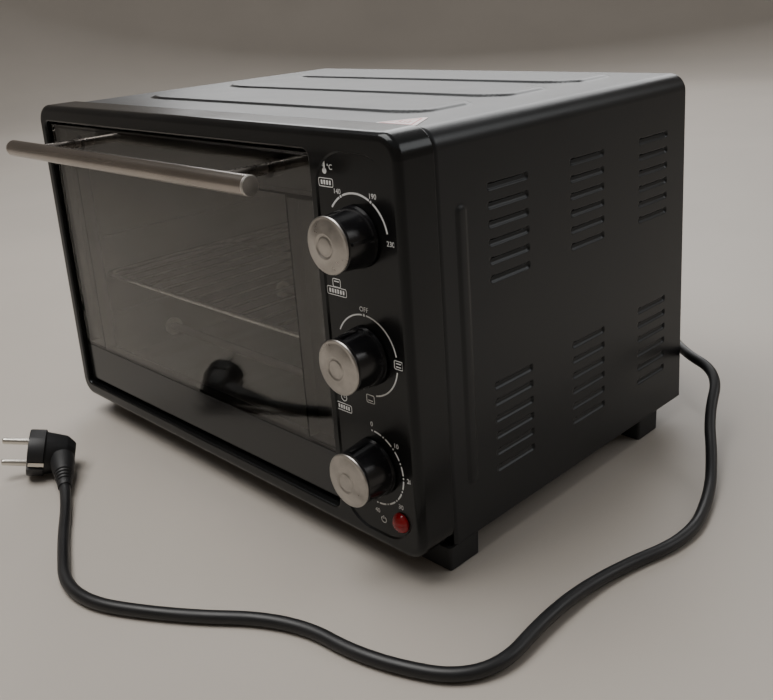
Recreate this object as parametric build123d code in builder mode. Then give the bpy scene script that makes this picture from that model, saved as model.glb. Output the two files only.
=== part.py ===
"""Mini oven with a drop-down glass door, three knobs, a wire rack and a mains cord.

Frame: millimetres, +Z up, the door faces -Y.  The origin is on the floor, under the
middle of the oven's width and of its depth from the handle bar to the rear edge.
"""

import os
from math import asin, atan2, cos, degrees, pi, radians, sin, sqrt, tan

from build123d import *

os.makedirs("parts", exist_ok=True)


# ---------------------------------------------------------------- driving dimensions
BODY_W = 400.0            # fascia, left to right
BODY_D = 290.0            # fascia front to rear edge of the cover
FASCIA_H = 245.0
FASCIA_D = 27.0           # depth of the fascia's rim
FASCIA_R = 14.0           # corner radius of the fascia
FASCIA_EDGE_R = 4.5       # rounding of its front edge
FASCIA_T = 2.4            # wall of the fascia
FOOT_H = 15.5             # floor to underside of the base panel
FASCIA_LIFT = 1.5         # fascia's lower edge above the base panel's underside

RECESS_SIDE = 10.0        # fascia border left of the door opening
RECESS_TOP = 12.5         # border above it
RECESS_BOTTOM = 11.0      # border below it
RECESS_DEPTH = 18.0       # depth of the opening's return walls
RECESS_R = 5.0
CONTROL_W = 70.0          # width of the control side
FIELD_DEPTH = 1.0         # the control field is pressed in by this much
FIELD_R = 22.0

SHEET = 1.0               # cover, base, rear and cavity sheet
COVER_INSET = 1.5         # cover stands inside the fascia's outline by this much
COVER_R = 12.0            # rounding between the cover's top and sides
EMBOSS = 1.5              # height of the pressed panels on top
FLANGE_W = 11.0           # rear flange of the cover
FLANGE_BACK = 3.0         # flange's outer face ahead of the cover's rear edge

LOUVRE_L = 38.0
LOUVRE_H = 4.4
LOUVRE_PITCH = 10.8
LOUVRE_DEPTH = 1.7
LOUVRE_ROWS = 6
LOUVRE_MARGIN = 0.8       # metal left round and behind a louvre's pocket
SLIT_H = 0.9
SLIT_END = 3.0            # slit's end inside the louvre's end
LOUVRE_FRONT = 88.0       # first column behind the fascia's front
LOUVRE_REAR = 43.0        # last column ahead of the rear edge
LOUVRE_LOW = 58.0         # lower group above the fascia's lower edge
LOUVRE_HIGH = 67.0        # upper group below its upper edge
RIB_AT = 47.0             # side rib behind the fascia's front
RIB_W = 10.0
RIB_OUT = 1.2             # side rib stands out by this much
RIB_LOW = 30.5            # rib's lower end above the fascia's lower edge
RIB_HIGH = 44.5           # its upper end below the fascia's upper edge
PANEL_SIDE = 44.0         # pressed top panel's end inside the cover's side
PANEL_FRONT = 66.0        # first panel behind the fascia's front
PANEL_REAR = 14.0         # last panel ahead of the rear edge
PANEL_GAP = 18.0
PANEL_R = 16.0
STICKER_SIDE = 33.0
STICKER_T = 0.3
STICKER_IN = 33.0         # sticker's middle inside the fascia's right side
STICKER_BACK = 13.5       # and behind the fascia

DOOR_GAP = 2.0            # clearance round the door in its opening
DOOR_SET = 4.0            # glass face behind the fascia's front
GLASS_T = 4.0
RAIL_H = 33.5             # height of the door's bottom rail
RAIL_GAP = 2.0            # behind the bottom rail, to the front frame
RAIL_R = 3.0
STILE_W = 27.0            # inner door frame, left and right
TOP_RAIL_H = 25.5         # inner door frame, top
SHUT_GAP = 0.6            # behind the inner door frame, to the front frame
CHANNEL_T = 1.4
HINGE_IN = 5.5            # hinge axis from the rail's front face and lower edge
PIN_R = 2.5
RUNNING = 0.06            # radial clearance of pins and shafts that turn

BAR_R = 6.0               # handle bar
BAR_L = 299.0
BAR_AHEAD = 32.0          # bar axis ahead of the fascia
BAR_WALL = 1.0
BAR_BELOW_TOP = 13.0      # bar axis below the door's top edge
POST_R = 3.5
POST_SPAN = 231.0
CAP_T = 1.5

KNOB_H = 19.6             # knob body
KNOB_BASE_R = 17.4
KNOB_FRONT_R = 15.4
KNOB_CAP_R = 15.9
KNOB_CAP_T = 1.3
KNOB_DOME = 1.9
KNOB_STANDOFF = 0.8       # knob's base ahead of the control field
KNOB_HIGH = 57.0          # top knob's axis below the fascia's upper edge
KNOB_LOW = 51.4           # bottom knob's axis above its lower edge
KNOB_X_IN = 35.0          # knob axes from the fascia's right side
SHAFT_R = 3.0
BUSH_R = 5.0
LAMP_R = 6.0
LAMP_X_OUT = 18.0         # lamp to the right of the knobs' axes
LAMP_LOW = 21.5           # and above the fascia's lower edge

CAVITY_REAR = 21.0        # behind the cooking space, to the rear panel
CAVITY_BORDER = 14.0      # cavity wall inside the door opening, left and right
CAVITY_LOW = 18.0         # cavity floor above the opening's lower edge
CAVITY_HIGH = 23.5        # cavity ceiling below the opening's upper edge
RUNNER_W = 6.0
RUNNER_T = 2.0
RACK_UP = 76.0            # axis of the rack's frame wire above the cavity floor
RACK_PITCH = 33.0         # height between runner levels
RACK_WIRE_R = 1.9
RACK_BAR_R = 1.3
RACK_BARS = 13
RACK_SIDE_GAP = 2.5
RACK_FRONT_GAP = 6.0
RACK_REAR_GAP = 7.0
RACK_LIFT = 0.3           # rack wire above its runner
HEATER_R = 3.5
HEATER_IN = 12.0          # heater axes from the cavity's floor and ceiling
HEATER_Y_IN = 62.0        # and from its front and back
HEATER_OUT = 9.0          # heater ends outside the cavity walls
BUSH_WALL = 1.8           # ceramic round a heater
BUSH_FLANGE = 2.4

FOOT_X = 26.0
FOOT_Y = 27.0
FOOT_FRONT = 23.5         # front face of the front feet behind the fascia's front
FOOT_REAR = 31.5          # rear face of the rear feet ahead of the rear edge
FOOT_FLOOR = 5.0          # thickness of a foot above its screw's head

CORD_R = 3.8
CORD_Z_OUT = 60.0         # height of the cord's outlet in the rear panel
CORD_X_OUT = 58.0
GLAND_L = 24.0            # length of the tapered sleeve outside the panel
GLAND_WALL = 3.4          # gland's neck round the cord
SCREW_R = 1.7
SCREW_HEAD_R = 3.5
SCREW_HEAD_T = 1.9

# ------------------------------------------------------------------- derived places
FRONT = -(BODY_D - BAR_AHEAD - BAR_R) / 2
REAR = FRONT + BODY_D
SIDE = BODY_W / 2
FASCIA_Z0 = FOOT_H + FASCIA_LIFT
FASCIA_Z1 = FASCIA_Z0 + FASCIA_H
FASCIA_BACK = FRONT + FASCIA_D

OPEN_X0 = -SIDE + RECESS_SIDE
OPEN_X1 = SIDE - CONTROL_W
OPEN_Z0 = FASCIA_Z0 + RECESS_BOTTOM
OPEN_Z1 = FASCIA_Z1 - RECESS_TOP
OPEN_X = (OPEN_X0 + OPEN_X1) / 2
OPEN_Z = (OPEN_Z0 + OPEN_Z1) / 2
OPEN_BACK = FRONT + RECESS_DEPTH

COVER_X = SIDE - COVER_INSET
COVER_IN = COVER_X - SHEET
COVER_TOP = FASCIA_Z1 - EMBOSS
COVER_D = REAR - FASCIA_BACK
PLATE_Y = REAR - FLANGE_BACK          # outer face of the cover's flange
LOUVRE_Z = [FASCIA_Z1 - LOUVRE_HIGH, FASCIA_Z0 + LOUVRE_LOW]
LOUVRE_Y = [FRONT + LOUVRE_FRONT, (FRONT + LOUVRE_FRONT + REAR - LOUVRE_REAR) / 2,
            REAR - LOUVRE_REAR]
RIB_Y = FRONT + RIB_AT
RIB_L = FASCIA_H - RIB_LOW - RIB_HIGH
RIB_Z = FASCIA_Z0 + RIB_LOW + RIB_L / 2
PANEL_W = 2 * (COVER_X - PANEL_SIDE)
PANEL_D = (BODY_D - PANEL_FRONT - PANEL_REAR - 2 * PANEL_GAP) / 3
PANEL_Y = [FRONT + PANEL_FRONT + PANEL_D / 2 + i * (PANEL_D + PANEL_GAP) for i in range(3)]

DOOR_X0 = OPEN_X0 + DOOR_GAP
DOOR_X1 = OPEN_X1 - DOOR_GAP
DOOR_W = DOOR_X1 - DOOR_X0
DOOR_Z0 = OPEN_Z0 + DOOR_GAP
DOOR_Z1 = OPEN_Z1 - DOOR_GAP
DOOR_Y = FRONT + DOOR_SET
RAIL_TOP = DOOR_Z0 + RAIL_H
RAIL_T = OPEN_BACK - RAIL_GAP - DOOR_Y
GLASS_BACK = DOOR_Y + GLASS_T
DOOR_INNER_T = OPEN_BACK - SHUT_GAP - GLASS_BACK
HINGE_Y = DOOR_Y + HINGE_IN
HINGE_Z = DOOR_Z0 + HINGE_IN
STILE_IN = 2.0                        # inner frame inside the glass edge
BAR_Y = FRONT - BAR_AHEAD
BAR_Z = DOOR_Z1 - BAR_BELOW_TOP

CAV_X0 = OPEN_X0 + CAVITY_BORDER
CAV_X1 = OPEN_X1 - CAVITY_BORDER
CAV_Z0 = OPEN_Z0 + CAVITY_LOW
CAV_Z1 = OPEN_Z1 - CAVITY_HIGH
CAV_Y0 = OPEN_BACK + SHEET
CAV_Y1 = PLATE_Y - CAVITY_REAR
CAVITY_D = CAV_Y1 - CAV_Y0
CAV_X = (CAV_X0 + CAV_X1) / 2
CAV_Y = (CAV_Y0 + CAV_Y1) / 2
CAV_W = CAV_X1 - CAV_X0
CAV_H = CAV_Z1 - CAV_Z0

FIELD_Y = FRONT + FIELD_DEPTH
KNOB_X = SIDE - KNOB_X_IN
KNOB_Z = [FASCIA_Z1 - KNOB_HIGH, (FASCIA_Z1 - KNOB_HIGH + FASCIA_Z0 + KNOB_LOW) / 2,
          FASCIA_Z0 + KNOB_LOW]
LAMP_X = KNOB_X + LAMP_X_OUT
LAMP_Z = FASCIA_Z0 + LAMP_LOW
PLATE_BACK = FRONT + FASCIA_T + 0.4   # back of the fascia's front plate


def facing(y):
    """Upright plane at y that looks to the front; negative extrusions go rearward."""
    return Plane.XZ.offset(-y)


def save(part, name):
    part.label = name
    export_step(part, f"parts/{name}.step")


# ---------------------------------------------------------------------------- fascia
with BuildPart() as fascia:
    with BuildSketch(facing(FRONT)):
        with Locations((0, (FASCIA_Z0 + FASCIA_Z1) / 2)):
            RectangleRounded(BODY_W, FASCIA_H, FASCIA_R)
    extrude(amount=-FASCIA_D)
    front_edges = fascia.faces().sort_by(Axis.Y)[0].edges()
    fillet(front_edges, FASCIA_EDGE_R)
    rear_edges = fascia.faces().sort_by(Axis.Y)[-1].edges()
    fillet(rear_edges, 0.8)
    # hollow behind the front plate
    with BuildSketch(facing(PLATE_BACK)):
        with Locations((0, (FASCIA_Z0 + FASCIA_Z1) / 2)):
            RectangleRounded(BODY_W - 2 * FASCIA_T, FASCIA_H - 2 * FASCIA_T, FASCIA_R - FASCIA_T)
    extrude(amount=-FASCIA_D, mode=Mode.SUBTRACT)
    # return walls round the door opening
    with BuildSketch(facing(PLATE_BACK - 1)):
        with Locations((OPEN_X, OPEN_Z)):
            RectangleRounded(OPEN_X1 - OPEN_X0 + 2 * FASCIA_T, OPEN_Z1 - OPEN_Z0 + 2 * FASCIA_T,
                             RECESS_R + FASCIA_T)
    extrude(amount=-(OPEN_BACK - PLATE_BACK + 1))
    with BuildSketch(facing(FRONT - 1)):
        with Locations((OPEN_X, OPEN_Z)):
            RectangleRounded(OPEN_X1 - OPEN_X0, OPEN_Z1 - OPEN_Z0, RECESS_R)
    extrude(amount=-(RECESS_DEPTH + 2), mode=Mode.SUBTRACT)
    lip = [e for e in fascia.edges().filter_by_position(Axis.Y, FRONT - 0.01, FRONT + 0.01)
           if abs(e.center().X - OPEN_X) < (OPEN_X1 - OPEN_X0) / 2 + 1]
    fillet(lip, 1.6)
    # pressed-in control field
    field_x0 = OPEN_X1 + 5.0
    field_x1 = SIDE - FASCIA_EDGE_R - 2.0
    with BuildSketch(facing(FRONT)):
        with Locations(((field_x0 + field_x1) / 2, OPEN_Z - 1.0)):
            RectangleRounded(field_x1 - field_x0, OPEN_Z1 - OPEN_Z0 + 4.0, FIELD_R)
    extrude(amount=-FIELD_DEPTH, taper=45, mode=Mode.SUBTRACT)
    # holes for the three control bushes, the lamp and the hinge pins
    with BuildSketch(facing(FRONT)):
        with Locations([(KNOB_X, z) for z in KNOB_Z]):
            Circle(BUSH_R)
        with Locations((LAMP_X, LAMP_Z)):
            Circle(LAMP_R)
    extrude(amount=-2 * FASCIA_T, mode=Mode.SUBTRACT)
    with BuildSketch(Plane.YZ.offset(OPEN_X)):
        with Locations((HINGE_Y, HINGE_Z)):
            Circle(PIN_R + RUNNING)
    extrude(amount=(OPEN_X1 - OPEN_X0) / 2 + 2 * FASCIA_T, both=True, mode=Mode.SUBTRACT)
save(fascia.part, "fascia")

# ----------------------------------------------------------------------------- cover
REAR_SCREWS = [(x, z) for x in (-COVER_IN + 6.0, COVER_IN - 6.0)
               for z in (FOOT_H + 34.0, COVER_TOP - 62.0)]
REAR_SCREWS += [(x, COVER_TOP - SHEET - 5.5) for x in (-COVER_IN / 2, COVER_IN / 2)]

LOUVRES = [(y, z + (i - (LOUVRE_ROWS - 1) / 2) * LOUVRE_PITCH)
           for z in LOUVRE_Z for y in LOUVRE_Y for i in range(LOUVRE_ROWS)]

with BuildPart() as cover:
    with BuildSketch(facing(FASCIA_BACK)) as half_wrap:
        with BuildLine():
            Polyline((0, COVER_TOP), (COVER_X - COVER_R, COVER_TOP))
            RadiusArc((COVER_X - COVER_R, COVER_TOP), (COVER_X, COVER_TOP - COVER_R), COVER_R)
            Polyline((COVER_X, COVER_TOP - COVER_R), (COVER_X, FOOT_H), (COVER_IN, FOOT_H),
                     (COVER_IN, COVER_TOP - COVER_R))
            RadiusArc((COVER_IN, COVER_TOP - COVER_R),
                      (COVER_X - COVER_R, COVER_TOP - SHEET), -(COVER_R - SHEET))
            Polyline((COVER_X - COVER_R, COVER_TOP - SHEET), (0, COVER_TOP - SHEET), (0, COVER_TOP))
        make_face()
    extrude(amount=-COVER_D)
    # rear flange
    with BuildSketch(facing(PLATE_Y)) as flange:
        with BuildLine():
            Polyline((0, COVER_TOP - SHEET), (COVER_X - COVER_R, COVER_TOP - SHEET))
            RadiusArc((COVER_X - COVER_R, COVER_TOP - SHEET),
                      (COVER_IN, COVER_TOP - COVER_R), COVER_R - SHEET)
            Polyline((COVER_IN, COVER_TOP - COVER_R), (COVER_IN, FOOT_H + SHEET),
                     (COVER_IN - FLANGE_W, FOOT_H + SHEET),
                     (COVER_IN - FLANGE_W, COVER_TOP - SHEET - FLANGE_W),
                     (0, COVER_TOP - SHEET - FLANGE_W), (0, COVER_TOP - SHEET))
        make_face()
    extrude(amount=SHEET)
    # metal behind each louvre, then its pocket and its slit
    with BuildSketch(Plane.YZ.offset(COVER_IN)):
        with Locations(LOUVRES):
            SlotOverall(LOUVRE_L + 2 * LOUVRE_MARGIN, LOUVRE_H + 2 * LOUVRE_MARGIN)
    extrude(amount=-LOUVRE_DEPTH)
    with BuildSketch(Plane.YZ.offset(COVER_X)):
        with Locations(LOUVRES):
            SlotOverall(LOUVRE_L, LOUVRE_H)
    extrude(amount=-LOUVRE_DEPTH, taper=38, mode=Mode.SUBTRACT)
    with BuildSketch(Plane.YZ.offset(COVER_X)):
        with Locations([(y, z + SLIT_H / 2) for y, z in LOUVRES]):
            SlotOverall(LOUVRE_L - 2 * SLIT_END, SLIT_H)
    extrude(amount=-3 * LOUVRE_DEPTH, mode=Mode.SUBTRACT)
    # upright rib near the fascia, pressed outwards
    with BuildSketch(Plane.YZ.offset(COVER_IN)):
        with Locations((RIB_Y, RIB_Z)):
            SlotOverall(RIB_L - 2 * SHEET, RIB_W - 2 * SHEET, rotation=90)
    extrude(amount=0.9 * SHEET, taper=40, mode=Mode.SUBTRACT)
    with BuildSketch(Plane.YZ.offset(COVER_X)):
        with Locations((RIB_Y, RIB_Z)):
            SlotOverall(RIB_L, RIB_W, rotation=90)
    extrude(amount=RIB_OUT, taper=40)
    mirror(about=Plane.YZ)
    # three pressed panels across the top
    for panel_y in PANEL_Y:
        with BuildSketch(Plane.XY.offset(COVER_TOP)):
            with Locations((0, panel_y)):
                RectangleRounded(PANEL_W, PANEL_D, PANEL_R)
        extrude(amount=EMBOSS, taper=55)
        with BuildSketch(Plane.XY.offset(COVER_TOP - SHEET)):
            with Locations((0, panel_y)):
                RectangleRounded(PANEL_W - 2 * SHEET, PANEL_D - 2 * SHEET, PANEL_R - SHEET)
        extrude(amount=EMBOSS, taper=55, mode=Mode.SUBTRACT)
    with BuildSketch(facing(PLATE_Y)):
        with Locations(REAR_SCREWS):
            Circle(SCREW_R)
    extrude(amount=SHEET, mode=Mode.SUBTRACT)
save(cover.part, "cover")

# ---------------------------------------------------- base, rear panel, feet, screws
FOOT_XS = [-(COVER_X - FOOT_X / 2), COVER_X - FOOT_X / 2]
FOOT_YS = [FRONT + FOOT_FRONT + FOOT_Y / 2, REAR - FOOT_REAR - FOOT_Y / 2]

with BuildPart() as base_panel:
    with BuildSketch(Plane.XY.offset(FOOT_H)):
        with Locations((0, (FASCIA_BACK + PLATE_Y - SHEET) / 2)):
            Rectangle(2 * COVER_IN, PLATE_Y - SHEET - FASCIA_BACK)
    extrude(amount=SHEET)
    with BuildSketch(facing(FASCIA_BACK)):
        with Locations((0, FOOT_H + 7.5)):
            Rectangle(2 * COVER_IN - 2 * FASCIA_R, 15.0)
    extrude(amount=-SHEET)
    with BuildSketch(Plane.XY.offset(FOOT_H)):
        with Locations([(x, y) for x in FOOT_XS for y in FOOT_YS]):
            Circle(SCREW_R)
        with Locations((CAV_X, CAV_Y)):
            with GridLocations(26.0, 60.0, 7, 2):
                SlotOverall(34.0, 4.0, rotation=90)
    extrude(amount=SHEET, mode=Mode.SUBTRACT)
save(base_panel.part, "base_panel")

for name, foot_x, foot_y in (("foot_front_left", FOOT_XS[0], FOOT_YS[0]),
                             ("foot_front_right", FOOT_XS[1], FOOT_YS[0]),
                             ("foot_rear_left", FOOT_XS[0], FOOT_YS[1]),
                             ("foot_rear_right", FOOT_XS[1], FOOT_YS[1])):
    with BuildPart() as foot:
        with BuildSketch(Plane.XY.offset(FOOT_H)):
            with Locations((foot_x, foot_y)):
                RectangleRounded(FOOT_X, FOOT_Y, 2.5)
        extrude(amount=-FOOT_H, taper=2)
        fillet(foot.faces().sort_by(Axis.Z)[0].edges(), 1.0)
        with Locations(foot.faces().sort_by(Axis.Z)[0]):
            CounterBoreHole(SCREW_R, SCREW_HEAD_R + 1.0, FOOT_H - FOOT_FLOOR)
    save(foot.part, name)

with BuildPart() as foot_screws:
    with BuildSketch(Plane.XY.offset(FOOT_H - FOOT_FLOOR)):
        with Locations([(x, y) for x in FOOT_XS for y in FOOT_YS]):
            Circle(SCREW_HEAD_R)
    extrude(amount=-SCREW_HEAD_T)
    chamfer(foot_screws.edges().group_by(Axis.Z)[0], 0.5)
    with BuildSketch(Plane.XY.offset(FOOT_H - FOOT_FLOOR)):
        with Locations([(x, y) for x in FOOT_XS for y in FOOT_YS]):
            Circle(SCREW_R)
    extrude(amount=FOOT_FLOOR + SHEET + 2.0)
save(foot_screws.part, "foot_screws")

REAR_PLATE_T = SHEET
with BuildPart() as rear_panel:
    plate_z0 = FOOT_H + SHEET + 0.5
    plate_z1 = COVER_TOP - SHEET - 0.3
    with BuildSketch(facing(PLATE_Y)):
        with Locations((0, (plate_z0 + plate_z1) / 2)):
            Rectangle(2 * COVER_IN - 0.6, plate_z1 - plate_z0)
    extrude(amount=-REAR_PLATE_T)
    top_corners = rear_panel.edges().filter_by(Axis.Y).group_by(Axis.Z)[-1]
    fillet(top_corners, COVER_R)
    with BuildSketch(facing(PLATE_Y)):
        with Locations(REAR_SCREWS):
            Circle(SCREW_R)
        with Locations((CORD_X_OUT, CORD_Z_OUT)):
            Circle(CORD_R + GLAND_WALL)
        with Locations((CAV_X, CAV_Z1 - 38.0)):
            with GridLocations(52.0, 11.0, 4, 5):
                SlotOverall(38.0, 3.6)
        with Locations((KNOB_X - 6.0, CAV_Z0 + 70.0)):
            with GridLocations(0, 11.0, 1, 8):
                SlotOverall(38.0, 3.6)
    extrude(amount=-REAR_PLATE_T, mode=Mode.SUBTRACT)
    # two shallow pressed beads that stiffen the sheet
    with BuildSketch(facing(PLATE_Y + REAR_PLATE_T)):
        with Locations((CAV_X, CAV_Z0 + 26.0), (CAV_X, CAV_Z0 + 62.0)):
            SlotOverall(170.0, 9.0)
    extrude(amount=-1.2, taper=35)
save(rear_panel.part, "rear_panel")

with BuildPart() as rear_screws:
    with BuildSketch(facing(PLATE_Y + REAR_PLATE_T)):
        with Locations(REAR_SCREWS):
            Circle(SCREW_HEAD_R)
    extrude(amount=-SCREW_HEAD_T)
    fillet(rear_screws.edges().group_by(Axis.Y)[-1], 0.9)
    with BuildSketch(facing(PLATE_Y + REAR_PLATE_T)):
        with Locations(REAR_SCREWS):
            Circle(SCREW_R)
    extrude(amount=REAR_PLATE_T + SHEET + 3.0)
    with BuildSketch(facing(PLATE_Y + REAR_PLATE_T + SCREW_HEAD_T)):
        with Locations(REAR_SCREWS):
            Rectangle(4.2, 0.9)
            Rectangle(0.9, 4.2)
    extrude(amount=0.8, mode=Mode.SUBTRACT)
save(rear_screws.part, "rear_screws")

# hot-surface sticker on the cover, a plain triangle
with BuildPart() as sticker:
    with BuildSketch(Plane.XY.offset(COVER_TOP)):
        with Locations((SIDE - STICKER_IN, FASCIA_BACK + STICKER_BACK)):
            RegularPolygon(STICKER_SIDE / sqrt(3), 3, rotation=90)
    extrude(amount=STICKER_T)
    fillet(sticker.edges().filter_by(Axis.Z), 2.0)
save(sticker.part, "sticker")

# ------------------------------------------------------------ cooking space and bulkhead
RACK_Z = CAV_Z0 + RACK_UP
HEATER_YS = [CAV_Y0 + HEATER_Y_IN, CAV_Y1 - HEATER_Y_IN]
HEATER_LOW_Z = CAV_Z0 + HEATER_IN
HEATER_HIGH_Z = CAV_Z1 - HEATER_IN
HEATER_SPOTS = [(y, z) for y in HEATER_YS for z in (HEATER_LOW_Z, HEATER_HIGH_Z)]
BUSH_HOLE_R = HEATER_R + BUSH_WALL
RUNNER_Z = [RACK_Z - RACK_WIRE_R - RACK_LIFT - RUNNER_T / 2 + i * RACK_PITCH
            for i in (-1, 0, 1)]

with BuildPart() as front_frame:
    with BuildSketch(facing(OPEN_BACK)):
        frame_x0 = -SIDE + FASCIA_T
        frame_x1 = OPEN_X1 + FASCIA_T
        frame_z0 = FASCIA_Z0 + FASCIA_T
        frame_z1 = FASCIA_Z1 - FASCIA_T
        with Locations(((frame_x0 + frame_x1) / 2, (frame_z0 + frame_z1) / 2)):
            Rectangle(frame_x1 - frame_x0, frame_z1 - frame_z0)
    extrude(amount=-SHEET)
    left_corners = front_frame.edges().filter_by(Axis.Y).group_by(Axis.X)[0]
    fillet(left_corners, FASCIA_R - FASCIA_T + 0.3)
    with BuildSketch(facing(OPEN_BACK)):
        with Locations((CAV_X, (CAV_Z0 + CAV_Z1) / 2)):
            Rectangle(CAV_W, CAV_H)
    extrude(amount=-SHEET, mode=Mode.SUBTRACT)
save(front_frame.part, "front_frame")

for name, wall_x, inward in (("cavity_left", CAV_X0, 1), ("cavity_right", CAV_X1, -1)):
    with BuildPart() as wall:
        with BuildSketch(Plane.YZ.offset(wall_x)):
            with Locations((CAV_Y, (CAV_Z0 + CAV_Z1) / 2)):
                Rectangle(CAVITY_D, CAV_H + 2 * SHEET)
        extrude(amount=-inward * SHEET)
        with BuildSketch(Plane.YZ.offset(wall_x)):
            with Locations([(CAV_Y, z) for z in RUNNER_Z]):
                Rectangle(CAVITY_D - 20.0, RUNNER_T)
        extrude(amount=inward * RUNNER_W)
        runner_ends = wall.edges().filter_by(Axis.Z).filter_by_position(
            Axis.X, wall_x + inward * RUNNER_W - 0.1, wall_x + inward * RUNNER_W + 0.1)
        chamfer(runner_ends, RUNNER_W - 1.5)
        with BuildSketch(Plane.YZ.offset(wall_x)):
            with Locations(HEATER_SPOTS):
                Circle(BUSH_HOLE_R)
        extrude(amount=-inward * SHEET, mode=Mode.SUBTRACT)
    save(wall.part, name)

with BuildPart() as cavity_back:
    with BuildSketch(facing(CAV_Y1 - SHEET)):
        with Locations((CAV_X, (CAV_Z0 + CAV_Z1) / 2)):
            Rectangle(CAV_W, CAV_H)
    extrude(amount=-SHEET)
    with BuildSketch(facing(CAV_Y1 - SHEET)):
        with Locations((CAV_X, (CAV_Z0 + CAV_Z1) / 2)):
            RectangleRounded(CAV_W - 60.0, CAV_H - 56.0, 14.0)
    extrude(amount=1.2, taper=45)
save(cavity_back.part, "cavity_back")

for name, sheet_z in (("cavity_floor", CAV_Z0 - SHEET), ("cavity_ceiling", CAV_Z1)):
    with BuildPart() as sheet:
        with BuildSketch(Plane.XY.offset(sheet_z)):
            with Locations((CAV_X, CAV_Y)):
                Rectangle(CAV_W, CAVITY_D)
        extrude(amount=SHEET)
    save(sheet.part, name)

for name, rod_z in (("heater_lower", HEATER_LOW_Z), ("heater_upper", HEATER_HIGH_Z)):
    with BuildPart() as heater:
        with BuildSketch(Plane.YZ.offset(CAV_X0 - HEATER_OUT)):
            with Locations([(y, rod_z) for y in HEATER_YS]):
                Circle(HEATER_R)
        extrude(amount=CAV_W + 2 * HEATER_OUT)
    save(heater.part, name)

with BuildPart() as heater_bushes:
    for wall_x, inward in ((CAV_X0, 1), (CAV_X1, -1)):
        with BuildSketch(Plane.YZ.offset(wall_x)):
            with Locations(HEATER_SPOTS):
                Circle(BUSH_HOLE_R + BUSH_FLANGE)
        extrude(amount=inward * 3.0)
        with BuildSketch(Plane.YZ.offset(wall_x)):
            with Locations(HEATER_SPOTS):
                Circle(BUSH_HOLE_R)
        extrude(amount=-inward * 6.0)
        with BuildSketch(Plane.YZ.offset(wall_x + inward * 4.0)):
            with Locations(HEATER_SPOTS):
                Circle(HEATER_R)
        extrude(amount=-inward * 12.0, mode=Mode.SUBTRACT)
save(heater_bushes.part, "heater_bushes")

# wire rack: a frame of thick wire and bars from front to back
RACK_X0 = CAV_X0 + RACK_SIDE_GAP + RACK_WIRE_R
RACK_X1 = CAV_X1 - RACK_SIDE_GAP - RACK_WIRE_R
RACK_Y0 = CAV_Y0 + RACK_FRONT_GAP
RACK_Y1 = CAV_Y1 - RACK_REAR_GAP
with BuildPart() as wire_rack:
    with BuildLine() as rack_outline:
        FilletPolyline((RACK_X0, RACK_Y0, RACK_Z), (RACK_X1, RACK_Y0, RACK_Z),
                       (RACK_X1, RACK_Y1, RACK_Z), (RACK_X0, RACK_Y1, RACK_Z),
                       radius=7.0, close=True)
    with BuildSketch(Plane((CAV_X, RACK_Y0, RACK_Z), z_dir=(1, 0, 0))):
        Circle(RACK_WIRE_R)
    sweep(path=rack_outline.wires()[0])
    bar_pitch = (RACK_X1 - RACK_X0) / (RACK_BARS + 1)
    with BuildSketch(facing(RACK_Y0)):
        with Locations((CAV_X, RACK_Z)):
            with GridLocations(bar_pitch, 0, RACK_BARS, 1):
                Circle(RACK_BAR_R)
    extrude(amount=-(RACK_Y1 - RACK_Y0))
    with BuildSketch(Plane.YZ.offset(RACK_X0)):
        with Locations((CAV_Y, RACK_Z)):
            Circle(RACK_BAR_R)
    extrude(amount=RACK_X1 - RACK_X0)
save(wire_rack.part, "wire_rack")

# ------------------------------------------------------------------------------ door
FRAME_X0 = DOOR_X0 + STILE_IN
FRAME_X1 = DOOR_X1 - STILE_IN
FRAME_Z1 = DOOR_Z1 - STILE_IN
FRAME_Z0 = FRAME_Z1 - TOP_RAIL_H
FRAME_BACK = GLASS_BACK + DOOR_INNER_T
POST_XS = [OPEN_X - POST_SPAN / 2, OPEN_X + POST_SPAN / 2]
SHANK_R = 2.0
BOSS_R = 6.0

with BuildPart() as door_glass:
    with BuildSketch(facing(DOOR_Y)):
        with Locations((OPEN_X, (RAIL_TOP + DOOR_Z1) / 2)):
            Rectangle(DOOR_W, DOOR_Z1 - RAIL_TOP)
    extrude(amount=-GLASS_T)
    fillet(door_glass.edges().filter_by(Axis.Y).group_by(Axis.Z)[-1], 3.0)
    chamfer(door_glass.faces().sort_by(Axis.Y)[0].edges().group_by(Axis.Z)[-1], 0.5)
    with BuildSketch(facing(DOOR_Y)):
        with Locations([(x, BAR_Z) for x in POST_XS]):
            Circle(SHANK_R + 0.5)
    extrude(amount=-GLASS_T, mode=Mode.SUBTRACT)
save(door_glass.part, "door_glass")

with BuildPart() as door_bottom_rail:
    with BuildSketch(Plane.YZ.offset(DOOR_X0)):
        with Locations((DOOR_Y + RAIL_T / 2, (DOOR_Z0 + RAIL_TOP) / 2)):
            Rectangle(RAIL_T, RAIL_H)
    extrude(amount=DOOR_W)
    fillet(door_bottom_rail.edges().filter_by(Axis.X).group_by(Axis.Z)[0], RAIL_R)
    chamfer(door_bottom_rail.faces().sort_by(Axis.Y)[0].edges().filter_by(Axis.X), 0.6)
    with BuildSketch(Plane.YZ.offset(DOOR_X0)):
        with Locations((DOOR_Y + RAIL_T / 2, (HINGE_Z + PIN_R + 2.5 + RAIL_TOP - CHANNEL_T) / 2)):
            RectangleRounded(RAIL_T - 2 * CHANNEL_T, RAIL_TOP - CHANNEL_T - HINGE_Z - PIN_R - 2.5, 1.5)
        with Locations((HINGE_Y, HINGE_Z)):
            Circle(PIN_R)
    extrude(amount=DOOR_W, mode=Mode.SUBTRACT)
save(door_bottom_rail.part, "door_bottom_rail")

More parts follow.
